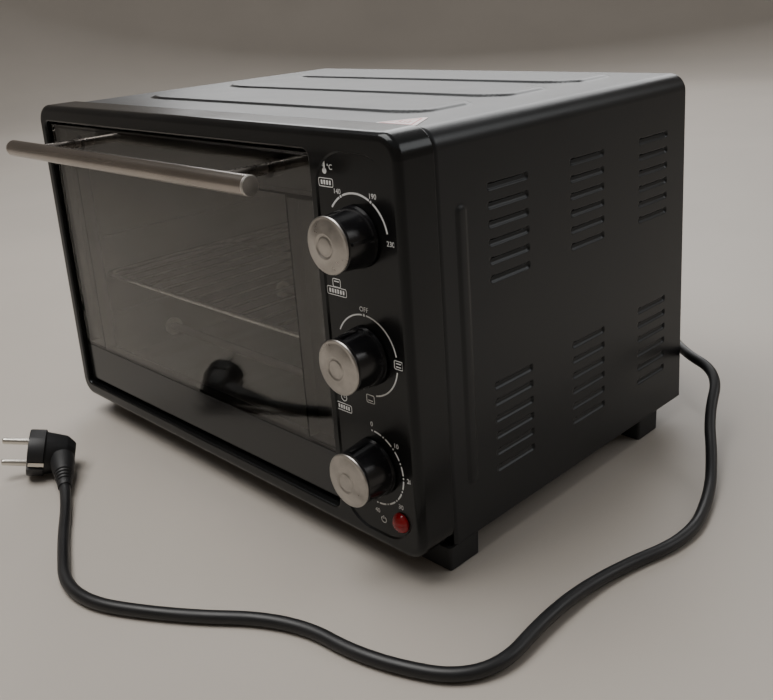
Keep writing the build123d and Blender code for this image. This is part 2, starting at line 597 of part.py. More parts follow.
with BuildPart() as door_top_rail:
    with BuildSketch(facing(GLASS_BACK)):
        with Locations((OPEN_X, (FRAME_Z0 + FRAME_Z1) / 2)):
            Rectangle(FRAME_X1 - FRAME_X0, TOP_RAIL_H)
    extrude(amount=-DOOR_INNER_T)
    chamfer(door_top_rail.faces().sort_by(Axis.Y)[-1].edges().group_by(Axis.Z)[-1], 1.2)
    with BuildSketch(facing(GLASS_BACK)):
        with Locations((OPEN_X, (FRAME_Z0 + FRAME_Z1) / 2)):
            Rectangle(FRAME_X1 - FRAME_X0 - 2 * CHANNEL_T, TOP_RAIL_H - 2 * CHANNEL_T)
        with Locations([(x, BAR_Z) for x in POST_XS]):
            Circle(BOSS_R, mode=Mode.SUBTRACT)
    extrude(amount=-(DOOR_INNER_T - CHANNEL_T), mode=Mode.SUBTRACT)
    with BuildSketch(facing(GLASS_BACK)):
        with Locations([(x, BAR_Z) for x in POST_XS]):
            Circle(SHANK_R)
    extrude(amount=-DOOR_INNER_T, mode=Mode.SUBTRACT)
    with BuildSketch(facing(FRAME_BACK)):
        with Locations([(x, BAR_Z) for x in POST_XS]):
            Circle(SHANK_R + 2.4)
    extrude(amount=3.4, mode=Mode.SUBTRACT)
save(door_top_rail.part, "door_top_rail")

for name, stile_x0 in (("door_stile_left", FRAME_X0), ("door_stile_right", FRAME_X1 - STILE_W)):
    with BuildPart() as stile:
        with BuildSketch(facing(GLASS_BACK)):
            with Locations((stile_x0 + STILE_W / 2, (RAIL_TOP + FRAME_Z0) / 2)):
                Rectangle(STILE_W, FRAME_Z0 - RAIL_TOP)
        extrude(amount=-DOOR_INNER_T)
        with BuildSketch(facing(GLASS_BACK)):
            with Locations((stile_x0 + STILE_W / 2, (RAIL_TOP + FRAME_Z0) / 2)):
                Rectangle(STILE_W - 2 * CHANNEL_T, FRAME_Z0 - RAIL_TOP - 2 * CHANNEL_T)
        extrude(amount=-(DOOR_INNER_T - CHANNEL_T), mode=Mode.SUBTRACT)
        # a shallow pressed bead down the face that looks into the oven
        with BuildSketch(facing(FRAME_BACK)):
            with Locations((stile_x0 + STILE_W / 2, (RAIL_TOP + FRAME_Z0) / 2)):
                SlotOverall(FRAME_Z0 - RAIL_TOP - 24.0, 8.0, rotation=90)
        extrude(amount=0.7, mode=Mode.SUBTRACT)
    save(stile.part, name)

PIN_IN = 10.0             # pin inside the rail
BRACKET_T = 4.0
with BuildPart() as hinge_pins:
    for face_x, outward in ((DOOR_X0, -1), (DOOR_X1, 1)):
        with BuildSketch(Plane.YZ.offset(face_x - outward * PIN_IN)):
            with Locations((HINGE_Y, HINGE_Z)):
                Circle(PIN_R)
        extrude(amount=outward * (PIN_IN + DOOR_GAP + FASCIA_T + BRACKET_T))
save(hinge_pins.part, "hinge_pins")

for name, bracket_x, outward in (("hinge_bracket_left", OPEN_X0 - FASCIA_T, -1),
                                 ("hinge_bracket_right", OPEN_X1 + FASCIA_T, 1)):
    with BuildPart() as bracket:
        with BuildSketch(Plane.YZ.offset(bracket_x)):
            with Locations((PLATE_BACK + 7.0, HINGE_Z + 6.0)):
                RectangleRounded(13.0, 26.0, 3.0)
            with Locations((HINGE_Y, HINGE_Z)):
                Circle(PIN_R + RUNNING, mode=Mode.SUBTRACT)
        extrude(amount=outward * BRACKET_T)
    save(bracket.part, name)

# ---------------------------------------------------------------------------- handle
with BuildPart() as handle_bar:
    with BuildSketch(Plane.YZ.offset(OPEN_X - BAR_L / 2 + CAP_T)):
        with Locations((BAR_Y, BAR_Z)):
            Circle(BAR_R)
            Circle(BAR_R - BAR_WALL, mode=Mode.SUBTRACT)
    extrude(amount=BAR_L - 2 * CAP_T)
save(handle_bar.part, "handle_bar")

with BuildPart() as handle_caps:
    for end_x, outward in ((OPEN_X - BAR_L / 2, -1), (OPEN_X + BAR_L / 2, 1)):
        with BuildSketch(Plane.YZ.offset(end_x)):
            with Locations((BAR_Y, BAR_Z)):
                Circle(BAR_R)
        extrude(amount=-outward * CAP_T)
        with BuildSketch(Plane.YZ.offset(end_x - outward * CAP_T)):
            with Locations((BAR_Y, BAR_Z)):
                Circle(BAR_R - BAR_WALL)
        extrude(amount=-outward * 7.0)
    rims = handle_caps.edges().filter_by(GeomType.CIRCLE).group_by(Axis.X)
    chamfer(rims[0] + rims[-1], 0.6)
save(handle_caps.part, "handle_caps")

with BuildPart() as handle_posts:
    with BuildSketch(facing(DOOR_Y)):
        with Locations([(x, BAR_Z) for x in POST_XS]):
            Circle(POST_R)
    extrude(amount=DOOR_Y - BAR_Y)
    with BuildSketch(Plane.YZ.offset(OPEN_X)):
        with Locations((BAR_Y, BAR_Z)):
            Circle(BAR_R)
    extrude(amount=POST_SPAN, both=True, mode=Mode.SUBTRACT)
    with BuildSketch(facing(DOOR_Y)):
        with Locations([(x, BAR_Z) for x in POST_XS]):
            Circle(SHANK_R)
    extrude(amount=12.0, mode=Mode.SUBTRACT)
save(handle_posts.part, "handle_posts")

with BuildPart() as handle_screws:
    seat_y = FRAME_BACK - 3.4
    with BuildSketch(facing(seat_y)):
        with Locations([(x, BAR_Z) for x in POST_XS]):
            Circle(SHANK_R)
    extrude(amount=seat_y - DOOR_Y + 12.0)
    with BuildSketch(facing(seat_y)):
        with Locations([(x, BAR_Z) for x in POST_XS]):
            Circle(SHANK_R + 1.8)
    extrude(amount=-2.4)
    with BuildSketch(facing(seat_y + 2.4)):
        with Locations([(x, BAR_Z) for x in POST_XS]):
            Rectangle(4.0, 0.9)
            Rectangle(0.9, 4.0)
    extrude(amount=1.0, mode=Mode.SUBTRACT)
save(handle_screws.part, "handle_screws")

# ------------------------------------------------------------------ knobs and controls
KNOB_BACK = FIELD_Y - KNOB_STANDOFF
KNOB_FRONT = KNOB_BACK - KNOB_H
NUT_T = 2.4
BUSH_OUT = 4.0            # bush ahead of the control field
NUT_ROOM_R = 9.5
NUT_ROOM = KNOB_BACK - 4.5
SHAFT_FRONT = FIELD_Y - 15.0
SHAFT_BACK = PLATE_BACK + 8.0
SHAFT_FLAT = 0.8
RIB_T = 1.8
POINTER = {"temperature": 83.0, "function": 0.0, "timer": 0.0}

for (name, pointer), knob_z in zip(POINTER.items(), KNOB_Z):
    knob_axis = Axis((KNOB_X, 0, knob_z), (0, 1, 0))
    with BuildPart() as knob:
        with BuildSketch(Plane.XY.offset(knob_z)):
            with BuildLine():
                Polyline((KNOB_X + NUT_ROOM_R, KNOB_BACK), (KNOB_X + KNOB_BASE_R - 0.6, KNOB_BACK),
                         (KNOB_X + KNOB_BASE_R, KNOB_BACK - 0.8),
                         (KNOB_X + KNOB_BASE_R - 0.5, KNOB_BACK - 2.6),
                         (KNOB_X + KNOB_FRONT_R, KNOB_FRONT + 1.6),
                         (KNOB_X + KNOB_FRONT_R - 0.9, KNOB_FRONT + 0.9),
                         (KNOB_X + KNOB_FRONT_R - 0.9, KNOB_FRONT),
                         (KNOB_X, KNOB_FRONT), (KNOB_X, NUT_ROOM), (KNOB_X + NUT_ROOM_R, NUT_ROOM),
                         (KNOB_X + NUT_ROOM_R, KNOB_BACK))
            make_face()
        revolve(axis=knob_axis)
        rib_x = KNOB_X + (KNOB_BASE_R - 3.4) * sin(radians(pointer))
        rib_z = knob_z + (KNOB_BASE_R - 3.4) * cos(radians(pointer))
        with BuildSketch(facing(KNOB_BACK - 2.0)):
            with Locations((rib_x, rib_z)):
                Rectangle(RIB_T, 5.6, rotation=-pointer)
        extrude(amount=KNOB_H - 4.2)
        with BuildSketch(facing(NUT_ROOM)):
            with Locations((KNOB_X, knob_z)):
                Circle(SHAFT_R)
            with Locations((KNOB_X, knob_z + 2 * SHAFT_R - SHAFT_FLAT)):
                Rectangle(2 * SHAFT_R, 2 * SHAFT_R, mode=Mode.SUBTRACT)
        extrude(amount=NUT_ROOM - SHAFT_FRONT, mode=Mode.SUBTRACT)
    save(knob.part, f"knob_{name}")

    with BuildPart() as cap:
        rim_y = KNOB_FRONT - KNOB_CAP_T
        with BuildSketch(Plane.XY.offset(knob_z)):
            with BuildLine():
                Polyline((KNOB_X, KNOB_FRONT), (KNOB_X + KNOB_CAP_R, KNOB_FRONT),
                         (KNOB_X + KNOB_CAP_R, rim_y + 0.3), (KNOB_X + KNOB_CAP_R - 0.3, rim_y))
                ThreePointArc((KNOB_X + KNOB_CAP_R - 0.3, rim_y),
                              (KNOB_X + 12.0, rim_y - 0.72 * KNOB_DOME),
                              (KNOB_X + 7.4, rim_y - KNOB_DOME))
                Polyline((KNOB_X + 7.4, rim_y - KNOB_DOME), (KNOB_X + 7.0, rim_y - KNOB_DOME - 0.35),
                         (KNOB_X + 6.2, rim_y - KNOB_DOME - 0.35), (KNOB_X + 5.8, rim_y - KNOB_DOME),
                         (KNOB_X, rim_y - KNOB_DOME), (KNOB_X, KNOB_FRONT))
            make_face()
        revolve(axis=knob_axis)
    save(cap.part, f"knob_{name}_cap")

    with BuildPart() as shaft:
        with BuildSketch(facing(SHAFT_BACK)):
            with Locations((KNOB_X, knob_z)):
                Circle(SHAFT_R)
        extrude(amount=SHAFT_BACK - SHAFT_FRONT)
        with BuildSketch(facing(NUT_ROOM)):
            with Locations((KNOB_X, knob_z + 2 * SHAFT_R - SHAFT_FLAT)):
                Rectangle(2 * SHAFT_R, 2 * SHAFT_R)
        extrude(amount=NUT_ROOM - SHAFT_FRONT, mode=Mode.SUBTRACT)
    save(shaft.part, f"shaft_{name}")

CONTROLS = {"thermostat": (38.0, 34.0, 18.0), "function_switch": (42.0, 42.0, 24.0),
            "timer": (46.0, 44.0, 30.0)}
for (name, (box_w, box_h, box_d)), knob_z in zip(CONTROLS.items(), KNOB_Z):
    with BuildPart() as control:
        with BuildSketch(facing(PLATE_BACK)):
            with Locations((KNOB_X, knob_z)):
                RectangleRounded(box_w, box_h, 4.0)
        extrude(amount=-box_d)
        with BuildSketch(facing(PLATE_BACK + box_d)):
            with Locations((KNOB_X, knob_z)):
                RectangleRounded(box_w - 10.0, box_h - 10.0, 3.0)
        extrude(amount=-4.0)
        with BuildSketch(facing(PLATE_BACK + box_d + 4.0)):
            with Locations((KNOB_X, knob_z)):
                with GridLocations(9.0, 14.0, 3, 2):
                    Rectangle(1.0, 6.3)
        extrude(amount=-7.0)
        with BuildSketch(facing(PLATE_BACK)):
            with Locations((KNOB_X, knob_z)):
                Circle(BUSH_R)
        extrude(amount=PLATE_BACK - FIELD_Y + BUSH_OUT)
        with BuildSketch(facing(FIELD_Y - BUSH_OUT)):
            with Locations((KNOB_X, knob_z)):
                Circle(SHAFT_R + RUNNING)
        extrude(amount=-(SHAFT_BACK - FIELD_Y + BUSH_OUT + 0.5), mode=Mode.SUBTRACT)
    save(control.part, name)

with BuildPart() as control_nuts:
    with BuildSketch(facing(FIELD_Y)):
        with Locations([(KNOB_X, z) for z in KNOB_Z]):
            RegularPolygon(7.0, 6, major_radius=False)
            Circle(BUSH_R, mode=Mode.SUBTRACT)
    extrude(amount=NUT_T)
save(control_nuts.part, "control_nuts")

LAMP_DOME = 3.6
lens_y = FIELD_Y - 1.2
dome_r = (LAMP_R**2 + LAMP_DOME**2) / (2 * LAMP_DOME)
dome_half = asin(LAMP_R / dome_r) / 2
with BuildPart() as power_lamp:
    with BuildSketch(Plane.XY.offset(LAMP_Z)):
        with BuildLine():
            Polyline((LAMP_X, PLATE_BACK), (LAMP_X + LAMP_R, PLATE_BACK), (LAMP_X + LAMP_R, lens_y))
            ThreePointArc((LAMP_X + LAMP_R, lens_y),
                          (LAMP_X + dome_r * sin(dome_half), lens_y - LAMP_DOME + dome_r
                           - dome_r * cos(dome_half)),
                          (LAMP_X, lens_y - LAMP_DOME))
            Polyline((LAMP_X, lens_y - LAMP_DOME), (LAMP_X, PLATE_BACK))
        make_face()
    revolve(axis=Axis((LAMP_X, 0, LAMP_Z), (0, 1, 0)))
save(power_lamp.part, "power_lamp")

with BuildPart() as lamp_holder:
    with BuildSketch(facing(PLATE_BACK)):
        with Locations((LAMP_X, LAMP_Z)):
            Circle(LAMP_R + 1.5)
    extrude(amount=-1.6)
    with BuildSketch(facing(PLATE_BACK + 1.6)):
        with Locations((LAMP_X, LAMP_Z)):
            Circle(LAMP_R - 0.5)
    extrude(amount=-14.0)
save(lamp_holder.part, "lamp_holder")

with BuildPart() as terminal_block:
    with BuildSketch(Plane.XY.offset(FOOT_H + SHEET)):
        with Locations((KNOB_X, PLATE_Y - 34.0)):
            RectangleRounded(36.0, 20.0, 2.0)
    extrude(amount=15.0)
    with BuildSketch(Plane.XY.offset(FOOT_H + SHEET + 15.0)):
        with Locations((KNOB_X, PLATE_Y - 34.0)):
            with GridLocations(11.0, 9.0, 3, 2):
                Circle(2.6)
    extrude(amount=-7.0, mode=Mode.SUBTRACT)
save(terminal_block.part, "terminal_block")

# ------------------------------------------------------------------- mains cord, plug
GLAND_Y = PLATE_Y + REAR_PLATE_T
CORD_ROUTE = [
    (58, GLAND_Y + GLAND_L, 60), (58, 214, 60), (84, 236, 59), (120, 236, 57), (154, 210, 55),
    (196, 170, 50), (234, 156, 46), (246, 118, 30), (262, 92, 14), (277, 60, 5), (290, 10, 3.9),
    (272, -46, 3.9), (269, -100, 7.5), (275, -162, 4.2), (220, -189, 3.9), (163, -193, 3.9),
    (108, -236, 3.9), (46, -268, 3.9), (-14, -240, 3.9), (-53, -218, 4.6), (-71, -209.7, 8.2),
]

with BuildPart() as cord_gland:
    with BuildSketch(Plane.XY.offset(CORD_Z_OUT)):
        with BuildLine():
            Polyline((CORD_X_OUT, GLAND_Y - 5.0), (CORD_X_OUT + CORD_R + 5.0, GLAND_Y - 5.0),
                     (CORD_X_OUT + CORD_R + 5.0, GLAND_Y - REAR_PLATE_T),
                     (CORD_X_OUT + CORD_R + GLAND_WALL, GLAND_Y - REAR_PLATE_T),
                     (CORD_X_OUT + CORD_R + GLAND_WALL, GLAND_Y), (CORD_X_OUT + CORD_R + 5.6, GLAND_Y),
                     (CORD_X_OUT + CORD_R + 5.6, GLAND_Y + 2.5),
                     (CORD_X_OUT + CORD_R + 2.8, GLAND_Y + 3.5),
                     (CORD_X_OUT + CORD_R + 0.9, GLAND_Y + GLAND_L),
                     (CORD_X_OUT, GLAND_Y + GLAND_L), (CORD_X_OUT, GLAND_Y - 5.0))
        make_face()
    revolve(axis=Axis((CORD_X_OUT, 0, CORD_Z_OUT), (0, 1, 0)))
save(cord_gland.part, "cord_gland")


def cord_radii(route):
    """Radius at each inner point: 0.45 of the shorter run over the tangent of half the turn."""
    radii = []
    for before, here, after in zip(route, route[1:], route[2:]):
        arriving = Vector(*here) - Vector(*before)
        leaving = Vector(*after) - Vector(*here)
        half_turn = radians(arriving.get_angle(leaving)) / 2
        radii.append(0.45 * min(arriving.length, leaving.length) / tan(half_turn))
    return radii


RADII = cord_radii(CORD_ROUTE)
with BuildPart() as mains_cord:
    with BuildLine() as cord_path:
        FilletPolyline(*CORD_ROUTE, radius=RADII)
    with BuildSketch(Plane(CORD_ROUTE[0], z_dir=(0, 1, 0))):
        Circle(CORD_R)
    sweep()
save(mains_cord.part, "mains_cord")
cord_length = cord_path.wires()[0].length
print("cord radii", [round(r) for r in RADII], "smallest", round(min(RADII) / (2 * CORD_R), 1), "dia")
print("cord length", round(cord_length), "volume ratio",
      round(mains_cord.part.volume / (pi * CORD_R**2 * cord_length), 4))

# right-angle plug resting on the rear edge of its rim and on its grip, so its pins point up a
# little; the cord leaves from the side of the grip
PLUG_FACE = (-123.0, -211.0, 19.3)
PLUG_YAW = 60.0           # direction from the pins' face to the back, from +X towards +Y
PLUG_TILT = 13.2          # how much the back lies lower than the face
PLUG_ROLL = 10.0          # turn about its own axis
RIM_R = 17.0
RIM_FLAT = 16.4
RIM_D = 12.0
GRIP_R = 16.0
GRIP_END_R = 13.0         # radius where the chamfer of the back starts
GRIP_D = 15.0
GRIP_FLAT = 1.0           # flats cut this far into the grip
BACK_D = 6.0
BACK_TAPER = 40
CONTACT_R = 2.4
CONTACT_L = 18.5
CONTACT_SPAN = 19.0
CONTACT_DEEP = 6.0        # pins' roots inside the rim
CLIP_W = 3.2
CLIP_T = 0.8
CLIP_IN = 1.9             # clip's middle inside the rim's radius
RELIEF_L = 34.0
RELIEF_TAPER = -6.5
back_dir = Vector(cos(radians(PLUG_YAW)) * cos(radians(PLUG_TILT)),
                  sin(radians(PLUG_YAW)) * cos(radians(PLUG_TILT)), -sin(radians(PLUG_TILT)))
level_dir = Vector(sin(radians(PLUG_YAW)), -cos(radians(PLUG_YAW)), 0)
side_dir = level_dir.rotate(Axis((0, 0, 0), back_dir), PLUG_ROLL)
face_plane = Plane(PLUG_FACE, x_dir=side_dir, z_dir=back_dir)
cord_end = Vector(*CORD_ROUTE[-1])
relief_dir = (cord_end - Vector(*CORD_ROUTE[-2])).normalized()

with BuildPart() as plug_body:
    with BuildSketch(face_plane):
        Circle(RIM_R)
        Rectangle(2 * RIM_R + 1, 2 * RIM_FLAT, mode=Mode.INTERSECT)
    extrude(amount=RIM_D)
    with BuildSketch(face_plane.offset(RIM_D)):
        Circle(GRIP_R)
        Rectangle(2 * GRIP_R + 1, 2 * (GRIP_R - GRIP_FLAT), mode=Mode.INTERSECT)
    extrude(amount=GRIP_D, taper=degrees(atan2(GRIP_R - GRIP_END_R, GRIP_D)))
    with BuildSketch(face_plane.offset(RIM_D + GRIP_D)):
        Circle(GRIP_END_R)
        Rectangle(2 * GRIP_END_R + 1, 2 * (GRIP_END_R - GRIP_FLAT), mode=Mode.INTERSECT)
    extrude(amount=BACK_D, taper=BACK_TAPER)
    with BuildSketch(Plane(cord_end, z_dir=relief_dir)):
        Circle(CORD_R + 1.0)
    extrude(amount=RELIEF_L, taper=RELIEF_TAPER)
    with BuildSketch(face_plane):
        with Locations((0, -CONTACT_SPAN / 2), (0, CONTACT_SPAN / 2)):
            Circle(CONTACT_R)
    extrude(amount=CONTACT_DEEP, mode=Mode.SUBTRACT)
    with BuildSketch(face_plane):
        with Locations((-RIM_R, 0), (RIM_R, 0)):
            Rectangle(2 * (CLIP_IN + CLIP_T / 2), CLIP_W + 2.0)
    extrude(amount=RIM_D, mode=Mode.SUBTRACT)
save(plug_body.part, "plug_body")

with BuildPart() as plug_pins:
    with BuildSketch(face_plane.offset(CONTACT_DEEP)):
        with Locations((0, -CONTACT_SPAN / 2), (0, CONTACT_SPAN / 2)):
            Circle(CONTACT_R)
    extrude(amount=-(CONTACT_L + CONTACT_DEEP))
    tips = plug_pins.faces().filter_by(GeomType.PLANE).sort_by_distance(
        face_plane.offset(-CONTACT_L).origin)[0:2]
    fillet(tips.edges(), 1.6)
save(plug_pins.part, "plug_pins")

with BuildPart() as plug_clips:
    with BuildSketch(face_plane.offset(1.0)):
        with Locations((-(RIM_R - CLIP_IN), 0), (RIM_R - CLIP_IN, 0)):
            Rectangle(CLIP_T, CLIP_W)
    extrude(amount=RIM_D - 1.0)
save(plug_clips.part, "plug_clips")
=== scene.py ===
# %% [markdown]
# # A countertop mini oven
# A black steel cabinet with a drop-down glass door, a round bar handle, three
# knobs and a mains cord. The steel, the hinges and everything that moves come
# in as a fixed frame. Here the pieces get their finishes, and the ones that a
# plain solid can't show well, such as pressed sheet, moulded rubber, the cord
# and the printed dials, are built again in mesh code.

# %% Load the fixed frame
import math

import bmesh
import bpy
from mathutils import Matrix, Vector


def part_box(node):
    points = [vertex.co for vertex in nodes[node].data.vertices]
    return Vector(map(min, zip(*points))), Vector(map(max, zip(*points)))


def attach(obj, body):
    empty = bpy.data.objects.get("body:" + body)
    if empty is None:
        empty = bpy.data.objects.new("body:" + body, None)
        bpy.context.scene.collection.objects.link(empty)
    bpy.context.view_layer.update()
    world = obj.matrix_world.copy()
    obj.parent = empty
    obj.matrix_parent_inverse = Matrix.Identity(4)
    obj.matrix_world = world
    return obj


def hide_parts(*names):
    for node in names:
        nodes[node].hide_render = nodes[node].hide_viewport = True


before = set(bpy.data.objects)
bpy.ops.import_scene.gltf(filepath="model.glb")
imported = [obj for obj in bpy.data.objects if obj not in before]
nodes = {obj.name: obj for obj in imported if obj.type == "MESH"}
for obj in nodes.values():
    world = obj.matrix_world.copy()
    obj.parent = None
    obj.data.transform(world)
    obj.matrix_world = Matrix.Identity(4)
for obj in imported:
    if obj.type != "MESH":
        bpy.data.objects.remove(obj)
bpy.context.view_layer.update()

MM = 0.001

# %% [markdown]
# ## The view
# A product picture is half camera. The lens is a little longer than normal and
# stands close to the right front corner, above the top of the oven, so that the
# door, the controls, the side and the top all show. The camera is turned by
# three directions (right, up and forward), which is simpler to keep exact than
# three angles. The frame is shifted down a little, as when a picture is cropped.

# %% Camera
CAMERA_AT = Vector((0.5234, -0.4454, 0.3294))
CAMERA_RIGHT = Vector((0.7066, 0.7045, -0.0661)).normalized()
CAMERA_FORWARD = Vector((-0.6908, 0.6665, -0.2802)).normalized()
LENS = 43.28
SHIFT = (-0.0094, -0.113)


def make_camera():
    up = CAMERA_RIGHT.cross(CAMERA_FORWARD)
    right = CAMERA_FORWARD.cross(up)
    data = bpy.data.cameras.new("camera")
    data.lens = LENS
    data.sensor_width = 36.0
    data.shift_x, data.shift_y = SHIFT
    data.clip_start, data.clip_end = 0.01, 60.0
    camera = bpy.data.objects.new("camera", data)
    bpy.context.scene.collection.objects.link(camera)
    turn = Matrix((right, up, -CAMERA_FORWARD)).transposed()
    camera.matrix_world = Matrix.Translation(CAMERA_AT) @ turn.to_4x4()
    bpy.context.scene.camera = camera


make_camera()
print("camera at", tuple(round(v, 3) for v in CAMERA_AT))

# %% [markdown]
# ## Small helpers
# Every new piece ends the same way: a mesh in the frame's own metres, linked to
# the scene, shaded smooth except at sharp edges, riding on a body and painted
# with one finish. One helper does all of that, so that no piece is forgotten.

# %% Helpers for pieces
SMOOTH_ANGLE = math.radians(35)


def add_piece(name, mesh, body, material, replaces=()):
    """Links a mesh or curve as a piece that rides on a body."""
    piece = bpy.data.objects.new(name, mesh)
    bpy.context.scene.collection.objects.link(piece)
    mesh.materials.append(material)
    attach(piece, body)
    if replaces:
        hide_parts(*replaces)
    return piece


def finish_mesh(name, bm, sharp=SMOOTH_ANGLE):
    """Turns a bmesh into a mesh with smooth faces and sharp creases."""
    bmesh.ops.remove_doubles(bm, verts=bm.verts, dist=1e-7)
    bmesh.ops.recalc_face_normals(bm, faces=bm.faces)
    for face in bm.faces:
        face.smooth = True
    for edge in bm.edges:
        if len(edge.link_faces) == 2 and edge.calc_face_angle(0.0) > sharp:
            edge.smooth = False
    mesh = bpy.data.meshes.new(name)
    bm.to_mesh(mesh)
    bm.free()
    return mesh


def spin_profile(bm, profile, centre, axis, across, steps):
    """Revolves (radius, distance along the axis) points into a surface."""
    side = axis.cross(across).normalized()
    rings = []
    for radius, along in profile:
        if radius < 1e-7:
            rings.append([bm.verts.new(centre + axis * along)])
            continue
        ring = []
        for i in range(steps):
            angle = 2 * math.pi * i / steps
            spoke = across * math.cos(angle) + side * math.sin(angle)
            ring.append(bm.verts.new(centre + axis * along + spoke * radius))
        rings.append(ring)
    join_rings(bm, rings)


def join_rings(bm, rings):
    """Skins a list of rings; a ring of one vertex closes the skin to a point."""
    for first, second in zip(rings, rings[1:]):
        count = max(len(first), len(second))
        for i in range(count):
            j = (i + 1) % count
            if len(first) == 1:
                bm.faces.new((first[0], second[i], second[j]))
            elif len(second) == 1:
                bm.faces.new((first[i], first[j], second[0]))
            else:
                bm.faces.new((first[i], first[j], second[j], second[i]))


print("helpers ready")

# %% [markdown]
# ## Finishes
# A finish is a shader with constant numbers plus a few layers of noise, all in
# the object's own metres, so that grain has its true size. Broad soft noise
# changes the gloss, as handling and dust do, and fine noise gives the relief of
# paint, rubber or brushed steel.

# %% Helpers for finishes
def finish(name, colour, roughness, metallic=0.0, **sockets):
    """A material with its constant values on the shader's own sockets."""
    material = bpy.data.materials.new(name)
    material.use_nodes = True
    shader = material.node_tree.nodes["Principled BSDF"]
    shader.inputs["Base Color"].default_value = (*colour, 1.0)
    shader.inputs["Roughness"].default_value = roughness
    shader.inputs["Metallic"].default_value = metallic
    for socket, value in sockets.items():
        shader.inputs[socket.replace("_", " ")].default_value = value
    return material


def new_node(material, kind, **values):
    node = material.node_tree.nodes.new(kind)
    for key, value in values.items():
        setattr(node, key, value)
    return node


def link(material, source, target):
    material.node_tree.links.new(source, target)


def own_metres(material, stretch=(1.0, 1.0, 1.0), centre=(0.0, 0.0, 0.0)):
    """The point on the piece in metres from centre, stretched per axis."""
    where = new_node(material, "ShaderNodeTexCoord")
    mapping = new_node(material, "ShaderNodeMapping")
    mapping.inputs["Location"].default_value = [-c * s for c, s in zip(centre, stretch)]
    mapping.inputs["Scale"].default_value = stretch
    link(material, where.outputs["Object"], mapping.inputs["Vector"])
    return mapping.outputs["Vector"]


def noise(material, per_metre, detail=3.0, stretch=(1.0, 1.0, 1.0), rough=0.55):
    """Noise with per_metre blotches in a metre."""
    texture = new_node(material, "ShaderNodeTexNoise")
    texture.inputs["Scale"].default_value = per_metre
    texture.inputs["Detail"].default_value = detail
    texture.inputs["Roughness"].default_value = rough
    link(material, own_metres(material, stretch), texture.inputs["Vector"])
    return texture.outputs["Fac"]


def between(material, source, low, high, at=(0.3, 0.7)):
    """Maps noise that lies about 0.3 to 0.7 onto low to high."""
    scale = new_node(material, "ShaderNodeMapRange")
    scale.inputs["From Min"].default_value = at[0]
    scale.inputs["From Max"].default_value = at[1]
    scale.inputs["To Min"].default_value = low
    scale.inputs["To Max"].default_value = high
    link(material, source, scale.inputs["Value"])
    return scale.outputs["Result"]


def colours(material, source, low, high, at=(0.35, 0.65)):
    """Runs the base colour from low to high over the noise."""
    ramp = new_node(material, "ShaderNodeValToRGB")
    ramp.color_ramp.elements[0].position = at[0]
    ramp.color_ramp.elements[1].position = at[1]
    ramp.color_ramp.elements[0].color = (*low, 1.0)
    ramp.color_ramp.elements[1].color = (*high, 1.0)
    link(material, source, ramp.inputs["Fac"])
    shader = material.node_tree.nodes["Principled BSDF"]
    link(material, ramp.outputs["Color"], shader.inputs["Base Color"])


def gloss(material, source, low, high):
    """Runs the roughness from low to high over the noise."""
    shader = material.node_tree.nodes["Principled BSDF"]
    link(material, between(material, source, low, high), shader.inputs["Roughness"])


def relief(material, source, depth, strength=1.0):
    """Adds relief of that depth in metres on top of any that is there."""
    shader = material.node_tree.nodes["Principled BSDF"]
    bump = new_node(material, "ShaderNodeBump")
    bump.inputs["Distance"].default_value = depth
    bump.inputs["Strength"].default_value = strength
    if shader.inputs["Normal"].is_linked:
        below = shader.inputs["Normal"].links[0].from_socket
        link(material, below, bump.inputs["Normal"])
    link(material, source, bump.inputs["Height"])
    link(material, bump.outputs["Normal"], shader.inputs["Normal"])


def turned_rings(material, per_metre, centre, axis):
    """Fine turned rings about an axis through centre."""
    wave = new_node(material, "ShaderNodeTexWave", wave_type="RINGS", rings_direction=axis)
    wave.inputs["Scale"].default_value = per_metre / 20
    wave.inputs["Distortion"].default_value = 0.6
    wave.inputs["Detail Scale"].default_value = 2.0
    link(material, own_metres(material, centre=centre), wave.inputs["Vector"])
    return wave.outputs["Fac"]


print("finish helpers ready")

# %% [markdown]
# ## Black steel
# The cabinet is satin black enamel on pressed steel, with a faint orange-peel
# relief. The front is sprayed glossier than the cabinet. Both show a little
# dust as a slightly paler, rougher cloud, which keeps black from looking empty.

# %% Black finishes
def black_paint(name, colour, dusty, low, high, peel, shine=0.5):
    material = finish(name, colour, (low + high) / 2, Specular_IOR_Level=shine,
                      Specular_Tint=(0.92, 0.97, 1.0, 1.0))
    cloud = noise(material, 9.0, detail=5.0)
    colours(material, cloud, colour, dusty, at=(0.45, 0.8))
    gloss(material, cloud, low, high)
    relief(material, noise(material, 900.0, detail=1.0), peel, 0.35)
    return material


cabinet_black = black_paint("cabinet_black", (0.008, 0.008, 0.009), (0.014, 0.014, 0.015),
                            0.31, 0.40, 0.00006, 0.42)
front_black = black_paint("front_black", (0.006, 0.006, 0.006), (0.010, 0.010, 0.010),
                          0.17, 0.24, 0.00002, 0.32)
door_black = black_paint("door_black", (0.010, 0.010, 0.010), (0.016, 0.015, 0.015),
                         0.13, 0.20, 0.00002)
inner_black = black_paint("inner_black", (0.008, 0.008, 0.008), (0.013, 0.013, 0.012),
                          0.38, 0.48, 0.00002, 0.3)
foot_black = black_paint("foot_black", (0.015, 0.015, 0.016), (0.030, 0.029, 0.028),
                         0.55, 0.70, 0.00010)
print("black finishes: cabinet, front, door, inner, feet")

# %% [markdown]
# ## Bright metal
# Stainless steel is brushed, so its grain is stretched a hundred times along the
# stroke. The flat ends of the bar and the knob caps are turned, so their grain
# is rings round an axis instead.

